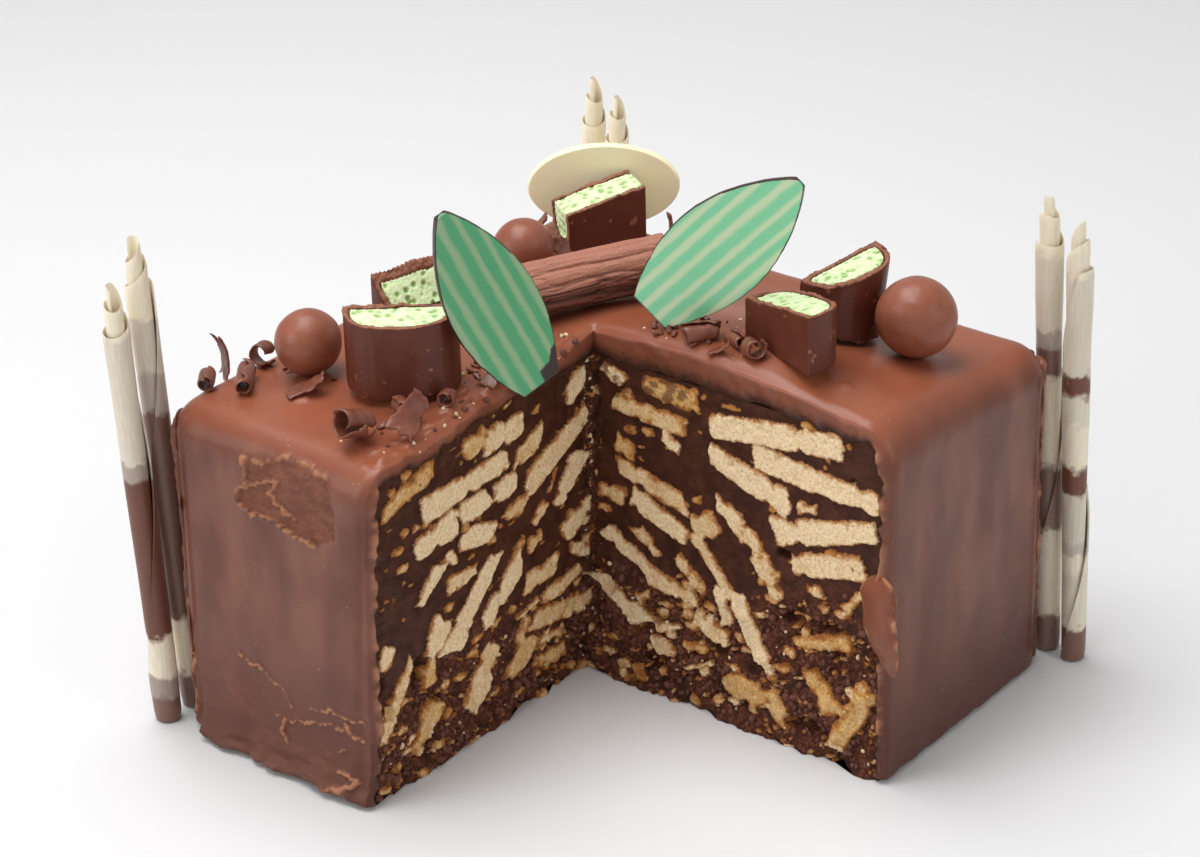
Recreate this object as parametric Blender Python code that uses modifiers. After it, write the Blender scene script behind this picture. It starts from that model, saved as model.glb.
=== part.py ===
"""Square chocolate biscuit cake with one corner cut out, finished with sweets and chocolate curls.

Metres, +Z up. The origin is the middle of the square's underside, the four sides lie along X and Y,
and the missing corner is the one at +X, -Y. Touching pieces keep a gap of GAP to each other.
"""

import math

import bmesh
import bpy
from mathutils import Euler, Matrix, Vector

# The pressed cake: a 7 inch square, cut through to two upright faces.
SIDE = 0.178
EDGE_TOP = 0.102
SHOULDER = 0.011
DRAFT = 0.010
CUT_X = -0.0162
CUT_Y = 0.0046
CUT_X_LEAN = 0.039
CUT_Y_LEAN = 0.0185
MIX_TOP = 0.1020
COAT = 0.0026
COAT_FOOT = 0.0016
LIP = 0.0030
LIP_RISE = 0.009
GAP = 0.0003
BLOCK_CUTS = 11

# The poured coat is heaped here: height, centre x and y, reach in x and y.
HEAPS = ((0.0110, 0.020, 0.020, 0.065, 0.032), (0.0040, -0.035, -0.030, 0.035, 0.030))

# Biscuits that show at a cut: place along the face, height, length, thickness, slope in degrees.
LEFT_ARM_BISCUITS = (
    (-0.071, 0.091, 0.022, 0.0060, 17), (-0.032, 0.0925, 0.016, 0.0085, 0),
    (-0.048, 0.083, 0.036, 0.0080, 3), (-0.053, 0.0735, 0.032, 0.0085, 8),
    (-0.032, 0.075, 0.011, 0.0080, 0), (-0.022, 0.084, 0.013, 0.0075, 15),
    (-0.010, 0.078, 0.031, 0.0080, 26), (-0.043, 0.0655, 0.014, 0.0070, -12),
    (-0.0275, 0.067, 0.009, 0.0060, -10), (-0.004, 0.0665, 0.017, 0.0080, 52),
    (-0.063, 0.059, 0.014, 0.0050, 45), (-0.050, 0.055, 0.013, 0.0055, 0),
    (-0.046, 0.045, 0.031, 0.0080, 48), (-0.0335, 0.043, 0.022, 0.0075, 36),
    (0.000, 0.052, 0.015, 0.0075, 25), (-0.016, 0.041, 0.014, 0.0070, 5),
    (-0.061, 0.041, 0.012, 0.0085, 60), (-0.077, 0.029, 0.023, 0.0050, 56),
    (-0.065, 0.014, 0.016, 0.0080, 45), (-0.042, 0.019, 0.021, 0.0090, 60),
    (-0.025, 0.017, 0.014, 0.0080, 45), (-0.007, 0.0335, 0.018, 0.0055, 12),
    (-0.007, 0.0245, 0.026, 0.0070, -10), (-0.011, 0.0110, 0.013, 0.0060, -5),
)
RIGHT_ARM_BISCUITS = (
    (0.015, 0.097, 0.019, 0.0070, 0), (0.0075, 0.0885, 0.026, 0.0060, -3),
    (0.0500, 0.0945, 0.044, 0.0078, 8), (0.063, 0.0850, 0.042, 0.0078, -4),
    (0.0415, 0.0788, 0.028, 0.0080, -16), (0.0665, 0.0705, 0.036, 0.0078, 17),
    (0.068, 0.0608, 0.026, 0.0078, 15), (-0.001, 0.076, 0.008, 0.0070, -20),
    (0.008, 0.0670, 0.026, 0.0065, -13), (-0.006, 0.060, 0.010, 0.0060, 0),
    (0.011, 0.0578, 0.022, 0.0072, -22), (0.0355, 0.0655, 0.012, 0.0065, -35),
    (0.043, 0.0600, 0.010, 0.0060, -45), (0.0485, 0.0510, 0.014, 0.0062, -60),
    (0.0065, 0.0485, 0.011, 0.0045, -40), (0.000, 0.0435, 0.020, 0.0058, -30),
    (0.015, 0.0365, 0.018, 0.0060, -10), (0.022, 0.0425, 0.013, 0.0052, -40),
    (0.0285, 0.0275, 0.013, 0.0065, -25), (0.033, 0.0368, 0.013, 0.0055, -78),
    (0.0430, 0.0320, 0.025, 0.0065, -62), (0.066, 0.036, 0.021, 0.0050, 18),
    (0.067, 0.0212, 0.016, 0.0070, -45), (0.077, 0.0165, 0.024, 0.0070, 63),
    (0.041, 0.0130, 0.015, 0.0105, -10), (0.0520, 0.0110, 0.008, 0.0090, 80),
    (-0.004, 0.0265, 0.021, 0.0068, -33), (0.011, 0.0160, 0.009, 0.0070, 20),
)
BISCUIT_RELIEF = 0.0005
BISCUIT_UNEVEN = 0.00005
BISCUIT_DEPTH = 0.005

# Hollows between the biscuits: place along the face, height, width, height of the hollow.
LEFT_ARM_HOLLOWS = ((-0.070, 0.0335, 0.008, 0.010), (-0.083, 0.036, 0.004, 0.007))
RIGHT_ARM_HOLLOWS = ((0.0535, 0.0595, 0.006, 0.0035), (0.0565, 0.0400, 0.009, 0.004),
                     (0.060, 0.0055, 0.011, 0.0050))
HOLLOW_DEPTH = 0.0045
HOLLOW_LIFT = 0.0009

# Rolled chocolate sticks, two at each corner: foot x and y, tip x and y, tip height.
STICK_RADIUS = 0.0042
STICK_OUT = 0.0945
STICK_SIDES = 14
STICK_SLANT = 0.45
STICK_FOOT = 0.0004
STICKS = {
    "left_front": ((-STICK_OUT, -0.0885), (-0.0935, -STICK_OUT), 0.1370),
    "left_rear": ((-STICK_OUT, -0.0785), (-STICK_OUT, -0.0850), 0.1470),
    "right_front": ((STICK_OUT, 0.0935), (0.0895, 0.0935), 0.1360),
    "right_rear": ((0.0855, STICK_OUT), (0.0795, STICK_OUT), 0.1410),
    "back_left": ((-0.0880, STICK_OUT), (-0.0810, STICK_OUT), 0.1410),
    "back_right": ((-0.0780, STICK_OUT), (-0.0718, 0.0941), 0.1370),
}

# Malted balls: x, y, radius.
BALLS = {"right": (0.0652, 0.0505, 0.0113), "left": (-0.0638, -0.0525, 0.0093),
         "back": (-0.0561, 0.0292, 0.0090)}

# The mint bar's section, and its pieces: x, y, turn about x, y and z in degrees, width, length, and
# the break: height over the coat, slope and heading of its fall in degrees.
BAR_HEIGHT = 0.0145
BAR_COAT = 0.0017
BAR_POINTS = 18
CUTTER_SIZE = 0.08
BAR_PIECES = {
    "left_front": (-0.0378, -0.0429, (0, 0, -140), 0.031, 0.026, (0.0225, 3, -60)),
    "left_rear": (-0.0724, 0.0007, (0, 0, -104), 0.031, 0.026, (0.0130, 50, -14)),
    "back": (-0.0511, 0.0620, (0, 90, 60), 0.031, 0.025, (0.0165, 12, 240)),
    "right_front": (0.0442, 0.0147, (0, 0, -21), 0.031, 0.026, (0.0160, 11, 159)),
    "right_rear": (0.0380, 0.0520, (5, -12, -111), 0.024, 0.034, (0.0205, 12, -112)),
}

# Printed chocolate leaves: x, y, facing and lean in degrees, length, width, and the height of the foot
# where it hangs over the cut edge.
LEAF_THICKNESS = 0.0018
LEAF_BROKEN = 0.10
LEAF_TIP = 0.0010
LEAF_BOW = 0.0012
LEAVES = {"left": (-0.0070, -0.0223, 66, -26, 0.062, 0.0235, 0.1020),
          "right": (0.0040, 0.0114, 22, 45, 0.060, 0.0255, None)}

# The oval plaque: x, y, facing, lean back; width and height.
PLAQUE_PLACE = (-0.0645, 0.0770, 39, 0)
PLAQUE_SIZE = (0.046, 0.0265)
PLAQUE_THICKNESS = 0.0035

# The crinkled log: x, y, heading of its length and its rise that way, in degrees.
LOG_PLACE = (-0.0225, 0.0183, 57, 4)
LOG_LENGTH = 0.046
LOG_RADIUS = 0.0080
LOG_FOLD = 0.05
LOG_POINTS = 28
LOG_CUTS = 3

# Shavings: rolls are x, y, turn, inner and outer radius, turns, width.
SHAVING = 0.0008
CURL_STEPS = 13
CURL_SKEW = 0.12
SHARD_STEPS = 4
SEAT_GAP = 0.0007
ROLLS = {
    "left_outer": (-0.0837, -0.0725, (90, 0, 40), 0.0011, 0.0024, 1.25, 0.008),
    "left_inner": (-0.0747, -0.0672, (90, 0, 40), 0.0012, 0.0026, 1.25, 0.013),
    "left_loop": (-0.0790, -0.0551, (80, 20, 10), 0.0018, 0.0036, 0.95, 0.005),
    "arm_thick": (-0.0262, -0.0740, (70, 30, -20), 0.0022, 0.0048, 1.05, 0.010),
    "arm_small": (-0.0243, -0.0583, (90, 0, 70), 0.0012, 0.0026, 1.30, 0.009),
    "arm_ring": (-0.0186, -0.0472, (90, 0, 20), 0.0012, 0.0024, 1.10, 0.004),
    "back_curl": (-0.0435, 0.0470, (90, 0, 10), 0.0014, 0.0028, 0.90, 0.007),
    "cut_long": (0.0210, 0.0113, (90, 0, 140), 0.0013, 0.0026, 1.25, 0.010),
    "cut_short": (0.0305, 0.0147, (90, 0, 69), 0.0010, 0.0021, 1.20, 0.007),
    "cut_ring": (0.0385, 0.0118, (80, 0, 60), 0.0016, 0.0034, 1.10, 0.005),
}
# Shards are x, y, turn, length, width, bend in degrees, taper.
SHARDS = {
    "left_spike": (-0.0868, -0.0638, (0, -70, 60), 0.013, 0.007, 50, 0.85),
    "left_triangle": (-0.0600, -0.0640, (0, -12, 30), 0.012, 0.010, 35, 0.80),
    "arm_sheet": (-0.0180, -0.0682, (30, -20, 100), 0.013, 0.008, 80, 0.30),
    "back_left": (-0.0803, 0.0571, (0, -25, 20), 0.011, 0.008, 30, 0.60),
    "back_chunk": (-0.0490, 0.0405, (0, -40, 150), 0.010, 0.007, 40, 0.30),
    "back_spike": (-0.0405, 0.0765, (0, -60, 30), 0.010, 0.006, 50, 0.80),
    "cut_spike": (0.0150, 0.0205, (0, -70, 20), 0.010, 0.005, 40, 0.50),
    "cut_triangle": (0.0265, 0.0090, (0, -15, 0), 0.008, 0.005, 35, 0.85),
    "leaf_foot": (-0.0160, -0.0350, (0, -20, 100), 0.009, 0.006, 30, 0.60),
}


def material(name, colour, roughness):
    """A plain finish in the piece's own colour."""
    made = bpy.data.materials.new(name)
    made.use_nodes = True
    shader = made.node_tree.nodes["Principled BSDF"]
    shader.inputs["Base Color"].default_value = (*colour, 1.0)
    shader.inputs["Roughness"].default_value = roughness
    shader.inputs["Metallic"].default_value = 0.0
    return made


def top_height(x, y):
    """Height of the coat's top surface: level near the edges and heaped under the toppings."""
    height = EDGE_TOP
    for rise, middle_x, middle_y, reach_x, reach_y in HEAPS:
        height += rise * math.exp(-((x - middle_x) / reach_x) ** 2 - ((y - middle_y) / reach_y) ** 2)
    return height


def mesh_object(name, bm, collection, finish):
    """Puts a bmesh into a named object of its own."""
    mesh = bpy.data.meshes.new(name)
    bmesh.ops.recalc_face_normals(bm, faces=bm.faces[:])
    bm.to_mesh(mesh)
    bm.free()
    made = bpy.data.objects.new(name, mesh)
    collection.objects.link(made)
    if finish is not None:
        mesh.materials.append(finish)
    return made


def bake(piece):
    """Applies the modifiers of a piece and its place to its mesh."""
    bpy.context.view_layer.update()
    graph = bpy.context.evaluated_depsgraph_get()
    mesh = bpy.data.meshes.new_from_object(piece.evaluated_get(graph), depsgraph=graph)
    mesh.transform(piece.matrix_world)
    piece.modifiers.clear()
    piece.data = mesh
    piece.matrix_world = Matrix.Identity(4)


def combine(piece, other, operation, solver="EXACT"):
    """One Boolean between two pieces, applied, with the other piece removed."""
    step = piece.modifiers.new(operation.lower(), "BOOLEAN")
    step.operation = operation
    step.solver = solver
    step.object = other
    bake(piece)
    bpy.data.objects.remove(other)


def stretched(t, half, radius):
    """Grid line t, from -1 to 1, on a side of a rounded block, with three lines on each rounding."""
    flat = 1.0 - 4.0 / (BLOCK_CUTS + 1)
    if abs(t) <= flat:
        return t / flat * (half - radius)
    turn = (abs(t) - flat) / (1.0 - flat) * math.pi / 4
    return math.copysign(half - radius + radius * math.tan(turn), t)


def rounded_block(name, collection, inset, bottom, height_at, finish, with_lip=False):
    """A block with rounded upright edges and shoulders, slightly drafted, under a heaped top.

    A cube's grid is pushed out: what of a point lies past the block's core is brought to the
    radius of the rounding. inset is how far the block lies inside the coat's outer face. The lip
    is where the poured coat ran down and gathered along the foot of the end at -Y.
    """
    half = SIDE / 2 - inset
    top = EDGE_TOP - inset
    radius = SHOULDER - inset
    reach = half - radius
    step = 2.0 / (BLOCK_CUTS + 1)
    bm = bmesh.new()
    bmesh.ops.create_cube(bm, size=2.0)
    bmesh.ops.subdivide_edges(bm, edges=bm.edges[:], cuts=BLOCK_CUTS, use_grid_fill=True)
    for vertex in bm.verts:
        a, b, c = vertex.co
        x = stretched(a, half, radius)
        y = stretched(b, half, radius)
        below_rounding = (c + 1.0) / (2.0 - 2.0 * step)
        if below_rounding <= 1.0:
            z = bottom + below_rounding * (top - radius - bottom)
        else:
            z = top - radius + radius * math.tan((c - 1.0 + 2.0 * step) / (2.0 * step) * math.pi / 4)
        on_underside = c < -0.999 and max(abs(a), abs(b)) < 0.999
        if not on_underside:
            core = Vector((max(-reach, min(reach, x)), max(-reach, min(reach, y)), min(top - radius, z)))
            x, y, z = core + (Vector((x, y, z)) - core).normalized() * radius
        slim = 1.0 - DRAFT * z / EDGE_TOP
        weight = max(0.0, min(1.0, z / top)) ** 8
        lift = (height_at(x, y) - top) * weight
        lip = LIP * math.exp(-(z / LIP_RISE) ** 2) if with_lip and y < -reach and abs(x) < reach else 0.0
        vertex.co = Vector((x * slim, y * slim - lip, z + lift))
    bmesh.ops.triangulate(bm, faces=bm.faces[:], quad_method="FIXED")
    return mesh_object(name, bm, collection, finish)


def mix_height(x, y):
    """Height of the pressed cake under the coat: level, and lower at the coat's edges."""
    return min(top_height(x, y) - COAT, MIX_TOP)


def cut_corner(collection):
    """The quarter that was cut away, with its two upright faces leaning a little outward."""
    bm = bmesh.new()
    bmesh.ops.create_cube(bm, size=2.0)
    for vertex in bm.verts:
        z = vertex.co.z * SIDE
        x = CUT_X + CUT_X_LEAN * z if vertex.co.x < 0.0 else SIDE
        y = CUT_Y + CUT_Y_LEAN * z if vertex.co.y > 0.0 else -SIDE
        vertex.co = Vector((x, y, z))
    return mesh_object("cut_corner", bm, collection, None)


def on_left_arm(along, height, out):
    """A place on the cut that faces +X, out from it."""
    return Vector((CUT_X + CUT_X_LEAN * height + out, along, height))


def on_right_arm(along, height, out):
    """A place on the cut that faces -Y, out from it."""
    return Vector((along, CUT_Y + CUT_Y_LEAN * height - out, height))


def biscuit_slab(name, collection, place, on_face, step, finish):
    """A biscuit's cut end: a rounded slab sunk in the mix that stands proud of the cut by step."""
    along, height, length, thickness, slope = place
    bm = bmesh.new()
    bmesh.ops.create_cube(bm, size=1.0)
    bmesh.ops.scale(bm, vec=(length, thickness, 1.0), verts=bm.verts[:])
    upright = [edge for edge in bm.edges if abs(edge.verts[0].co.z - edge.verts[1].co.z) > 0.5]
    bmesh.ops.bevel(bm, geom=upright, offset=0.36 * min(length, thickness), segments=2, profile=0.5,
                    affect="EDGES")
    turn = Matrix.Rotation(math.radians(slope), 3, "Z")
    for vertex in bm.verts:
        flat = turn @ vertex.co
        out = step if vertex.co.z > 0.0 else -BISCUIT_DEPTH - step
        vertex.co = on_face(along + flat.x, height + flat.y, out)
    return mesh_object(name, bm, collection, finish)


def hollow(collection, place, on_face):
    """A hole left between crumbled biscuits, as a cutter."""
    along, height, width, tall = place
    bm = bmesh.new()
    bmesh.ops.create_icosphere(bm, subdivisions=2, radius=1.0)
    for vertex in bm.verts:
        ball = vertex.co.copy()
        out = HOLLOW_LIFT + ball.z * HOLLOW_DEPTH
        vertex.co = on_face(along + ball.x * width / 2, height + ball.y * tall / 2, out)
    return mesh_object("hollow", bm, collection, None)


def build_cake(cake, cutters):
    """The pressed mix with the biscuits in its cuts, and the coat over its top and outer sides."""
    dark = material("biscuit_mix", (0.060, 0.026, 0.018), 0.55)
    milk = material("milk_chocolate", (0.200, 0.075, 0.042), 0.32)
    mix = rounded_block("biscuit_mix", cake, COAT + GAP, 0.0, lambda x, y: mix_height(x, y) - GAP, dark)
    combine(mix, cut_corner(cutters), "DIFFERENCE")
    slabs = bpy.data.collections.new("biscuits")
    bpy.context.scene.collection.children.link(slabs)
    for face, biscuits in ((on_left_arm, LEFT_ARM_BISCUITS), (on_right_arm, RIGHT_ARM_BISCUITS)):
        for number, place in enumerate(biscuits):
            step = BISCUIT_RELIEF + BISCUIT_UNEVEN * (number % 9)
            biscuit_slab("biscuit", slabs, place, face, step, dark)
    join = mix.modifiers.new("biscuits", "BOOLEAN")
    join.operation = "UNION"
    join.solver = "EXACT"
    join.operand_type = "COLLECTION"
    join.collection = slabs
    bake(mix)
    for slab in list(slabs.objects):
        bpy.data.objects.remove(slab)
    bpy.data.collections.remove(slabs)
    for face, hollows in ((on_left_arm, LEFT_ARM_HOLLOWS), (on_right_arm, RIGHT_ARM_HOLLOWS)):
        for place in hollows:
            combine(mix, hollow(cutters, place, face), "DIFFERENCE")

    coat = rounded_block("milk_chocolate_coat", cake, 0.0, COAT_FOOT, top_height, milk, with_lip=True)
    inside = rounded_block("coat_inside", cutters, COAT, -COAT_FOOT, mix_height, None)
    combine(coat, inside, "DIFFERENCE", "MANIFOLD")
    combine(coat, cut_corner(cutters), "DIFFERENCE", "MANIFOLD")
    return coat


def seat(pieces, coat):
    """Lowers or lifts pieces together, so that the lowest of them just clears the coat's top."""
    clearance = []
    for piece in pieces:
        for vertex in piece.data.vertices:
            above = Vector((vertex.co.x, vertex.co.y, 2 * SIDE))
            struck, place, _, _ = coat.ray_cast(above, Vector((0.0, 0.0, -1.0)))
            if struck:
                clearance.append(vertex.co.z - place.z)
    for piece in pieces:
        piece.data.transform(Matrix.Translation((0.0, 0.0, SEAT_GAP - min(clearance))))


def placed(piece, x, y, turn):
    """Turns a piece about its own origin, moves it over x and y, and bakes both into its mesh."""
    angles = Euler([math.radians(angle) for angle in turn], "XYZ")
    piece.matrix_world = Matrix.Translation((x, y, EDGE_TOP)) @ angles.to_matrix().to_4x4()
    bake(piece)
    return piece


def rolled_stick(name, collection, foot, tip, height, finish):
    """A chocolate sheet rolled into a stick: its layers end one after the other at the tip."""
    r = STICK_RADIUS
    profile = [(0.0, -0.006), (0.30 * r, -0.006), (0.36 * r, 0.0), (0.60 * r, -0.001), (0.62 * r, -0.006),
               (0.84 * r, -0.0065), (0.86 * r, -0.0135), (r, -0.0140), (r, 0.0), (0.0, 0.0)]
    lean = Vector((tip[0] - foot[0], tip[1] - foot[1], height))
    length = lean.length
    heights = [length + z for _, z in profile[:-2]] + [0.0, 0.0]
    mesh = bpy.data.meshes.new(name)
    points = [(radius, 0.0, z) for (radius, _), z in zip(profile, heights)]
    mesh.from_pydata(points, [(k, k + 1) for k in range(len(points) - 1)], [])
    stick = bpy.data.objects.new(name, mesh)
    collection.objects.link(stick)
    mesh.materials.append(finish)
    turn = stick.modifiers.new("turned", "SCREW")
    turn.steps = STICK_SIDES
    turn.render_steps = STICK_SIDES
    turn.use_merge_vertices = True
    turn.merge_threshold = 0.00001
    bake(stick)
    for vertex in stick.data.vertices:
        if vertex.co.z > length / 2:
            vertex.co.z += STICK_SLANT * vertex.co.x
    upright = lean.to_track_quat("Z", "Y").to_matrix().to_4x4()
    stick.data.transform(Matrix.Translation((*foot, STICK_FOOT)) @ upright)
    return stick


def malt_ball(name, collection, coat, x, y, radius, finish):
    """A round chocolate-coated ball resting on the coat."""
    bm = bmesh.new()
    bmesh.ops.create_uvsphere(bm, u_segments=14, v_segments=9, radius=radius)
    ball = mesh_object(name, bm, collection, finish)
    ball.data.shade_smooth()
    placed(ball, x, y, (0, 0, 0))
    seat([ball], coat)
    return ball


def bar_section(width, inset):
    """Outline of the mint bar: flat underneath, bulging above, as far in as inset."""
    half = width / 2 - inset
    rise = BAR_HEIGHT - 2 * inset
    points = []
    for k in range(BAR_POINTS + 1):
        t = math.pi * k / BAR_POINTS
        across = math.copysign(abs(math.cos(t)) ** 0.75, math.cos(t))
        points.append(Vector((half * across, inset + rise * math.sin(t) ** 0.8, 0.0)))
    return points


def prism(name, collection, outline, length, finish):
    """An outline drawn out along Z, half of the length to each side."""
    bm = bmesh.new()
    ring = [bm.verts.new(point - Vector((0.0, 0.0, length / 2))) for point in outline]
    floor = bm.faces.new(ring)
    drawn = bmesh.ops.extrude_face_region(bm, geom=[floor])
    tops = [item for item in drawn["geom"] if isinstance(item, bmesh.types.BMVert)]
    bmesh.ops.translate(bm, vec=(0.0, 0.0, length), verts=tops)
    return mesh_object(name, bm, collection, finish)


def mint_bar_piece(name, collection, cutters, top, spec, finishes):
    """A chopped length of chocolate bar: a coat with the mint filling bare at its cut ends."""
    x, y, turn, width, length, cut = spec
    coat = prism(name + "_coat", collection, bar_section(width, 0.0), length, finishes[0])
    core = prism("core", cutters, bar_section(width, BAR_COAT), length * 2, None)
    combine(coat, core, "DIFFERENCE")
    inside = bar_section(width, BAR_COAT + GAP)
    filling = prism(name + "_filling", collection, inside, length - GAP, finishes[1])
    for piece in (coat, filling):
        placed(piece, x, y, turn)
    seat([coat, filling], top)
    for piece in (coat, filling):
        height, slope, heading = cut
        bm = bmesh.new()
        bmesh.ops.create_cube(bm, size=CUTTER_SIZE)
        cutter = mesh_object("break", bm, cutters, None)
        tilt = Matrix.Rotation(math.radians(heading), 4, "Z") @ Matrix.Rotation(math.radians(slope), 4, "Y")
        above = Matrix.Translation((0.0, 0.0, CUTTER_SIZE / 2))
        cutter.matrix_world = Matrix.Translation((x, y, top_height(x, y) + height)) @ tilt @ above
        combine(piece, cutter, "DIFFERENCE")
    return coat, filling


def bent_sheet(name, collection, columns, rows, surface, thickness, finish):
    """A thin piece of chocolate: a grid carried to a surface, then given its thickness."""
    bm = bmesh.new()
    bmesh.ops.create_grid(bm, x_segments=columns, y_segments=rows, size=0.5)
    for vertex in bm.verts:
        vertex.co = surface(vertex.co.x + 0.5, vertex.co.y + 0.5)
    bmesh.ops.triangulate(bm, faces=bm.faces[:])
    piece = mesh_object(name, bm, collection, finish)
    wall = piece.modifiers.new("thickness", "SOLIDIFY")
    wall.thickness = thickness
    wall.offset = 0.0
    bake(piece)
    return piece


def leaf_plate(name, collection, coat, spec, finish):
    """A thin almond plate of dark chocolate stood on its end; its lower tip is broken off."""
    x, y, facing, lean, length, width, foot = spec

    def surface(u, v):
        along = LEAF_BROKEN + (1.0 - LEAF_BROKEN) * u
        half = width / 2 * math.sin(math.pi * along) ** 0.8 + LEAF_TIP
        bow = LEAF_BOW * math.sin(math.pi * u)
        return Vector(((v - 0.5) * 2.0 * half, bow, u * length))

    plate = bent_sheet(name, collection, 9, 4, surface, LEAF_THICKNESS, finish)
    plate.data.transform(Matrix.Rotation(math.radians(lean), 4, "Y"))
    placed(plate, x, y, (0, 0, facing))
    if foot is None:
        seat([plate], coat)
    else:
        lowest = min(vertex.co.z for vertex in plate.data.vertices)
        plate.data.transform(Matrix.Translation((0.0, 0.0, foot - lowest)))
    return plate


def crinkled_log(name, collection, coat, finish):
    """A log of thin chocolate layers folded together lengthwise, lying down."""
    outline = []
    for k in range(LOG_POINTS):
        t = 2.0 * math.pi * k / LOG_POINTS
        folds = 1.0 + LOG_FOLD * math.sin(7 * t) + 0.4 * LOG_FOLD * math.sin(11 * t + 1.0)
        outline.append(Vector((LOG_RADIUS * folds * math.cos(t), 0.92 * LOG_RADIUS * folds * math.sin(t), 0.0)))
    log = prism(name, collection, outline, LOG_LENGTH, finish)
    bm = bmesh.new()
    bm.from_mesh(log.data)
    lengthwise = [edge for edge in bm.edges if edge.calc_length() > LOG_LENGTH * 0.9]
    bmesh.ops.subdivide_edges(bm, edges=lengthwise, cuts=LOG_CUTS)
    bm.to_mesh(log.data)
    bm.free()
    placed(log, LOG_PLACE[0], LOG_PLACE[1], (90 - LOG_PLACE[3], 0, LOG_PLACE[2] + 90))
    seat([log], coat)
    return log


def curled_roll(name, collection, coat, spec, finish):
    """A shaving rolled up on itself: radius inside and outside, turns and width."""
    x, y, turn, inner, outer, turns, width = spec

    def surface(u, v):
        angle = 2.0 * math.pi * turns * u
        radius = inner + (outer - inner) * u
        skew = CURL_SKEW * width * u
        return Vector((radius * math.cos(angle), radius * math.sin(angle), (v - 0.5) * width + skew))

    roll = bent_sheet(name, collection, CURL_STEPS, 1, surface, SHAVING, finish)
    placed(roll, x, y, turn)
    seat([roll], coat)
    return roll


def shard(name, collection, coat, spec, finish):
    """A broken shaving: bent along its length, and narrowing to a point."""
    x, y, turn, length, width, bend, taper = spec

    def surface(u, v):
        angle = math.radians(bend) * u
        radius = length / max(math.radians(bend), 0.01)
        half = width / 2 * (1.0 - taper * u)
        return Vector((radius * math.sin(angle), (v - 0.5) * 2.0 * half, radius * (1.0 - math.cos(angle))))

    piece = bent_sheet(name, collection, SHARD_STEPS, 1, surface, SHAVING, finish)
    placed(piece, x, y, turn)
    seat([piece], coat)
    return piece


def name_plaque(name, collection, coat, finish):
    """A bare oval of white chocolate stood on its long edge."""
    x, y, facing, lean = PLAQUE_PLACE
    bm = bmesh.new()
    bmesh.ops.create_cone(bm, cap_ends=True, segments=28, radius1=0.5, radius2=0.5, depth=PLAQUE_THICKNESS)
    bmesh.ops.scale(bm, vec=(PLAQUE_SIZE[0], PLAQUE_SIZE[1], 1.0), verts=bm.verts[:])
    plaque = mesh_object(name, bm, collection, finish)
    placed(plaque, x, y, (90 - lean, 0, facing))
    seat([plaque], coat)
    return plaque


def main():
    for left_over in list(bpy.data.objects):
        bpy.data.objects.remove(left_over)
    cake = bpy.data.collections.new("chocolate_biscuit_cake")
    cutters = bpy.data.collections.new("cutters")
    for group in (cake, cutters):
        bpy.context.scene.collection.children.link(group)

    coat = build_cake(cake, cutters)

    white = material("white_chocolate", (0.80, 0.72, 0.55), 0.45)
    for name, (foot, tip, height) in STICKS.items():
        rolled_stick("rolled_stick_" + name, cake, foot, tip, height, white)

    milk = material("ball_chocolate", (0.180, 0.068, 0.040), 0.35)
    for name, (x, y, radius) in BALLS.items():
        malt_ball("malt_ball_" + name, cake, coat, x, y, radius, milk)

    bar = (material("bar_chocolate", (0.110, 0.040, 0.025), 0.38),
           material("mint_filling", (0.55, 0.80, 0.30), 0.60))
    for name, spec in BAR_PIECES.items():
        mint_bar_piece("mint_bar_" + name, cake, cutters, coat, spec, bar)

    green = material("printed_leaf", (0.10, 0.42, 0.22), 0.35)
    for name, spec in LEAVES.items():
        leaf_plate("leaf_" + name, cake, coat, spec, green)

    name_plaque("oval_plaque", cake, coat, material("ivory_chocolate", (0.85, 0.76, 0.50), 0.40))
    crinkled_log("crinkled_log", cake, coat, material("log_chocolate", (0.190, 0.075, 0.048), 0.60))

    shaving = material("shaving_chocolate", (0.130, 0.048, 0.032), 0.40)
    for name, spec in ROLLS.items():
        curled_roll("curl_" + name, cake, coat, spec, shaving)
    for name, spec in SHARDS.items():
        shard("shard_" + name, cake, coat, spec, shaving)


main()
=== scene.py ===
"""Looks of a square chocolate biscuit cake with one corner cut out. Metres, +Z up.

The sections follow the cake as it is made: the pressed mix, the poured coat, the rolled sticks at the
corners, then the sweets, leaves and shavings that are set on top.
"""

import math
from itertools import product

import bmesh
import bpy
import numpy as np
from mathutils import Euler, Matrix, Vector


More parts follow.
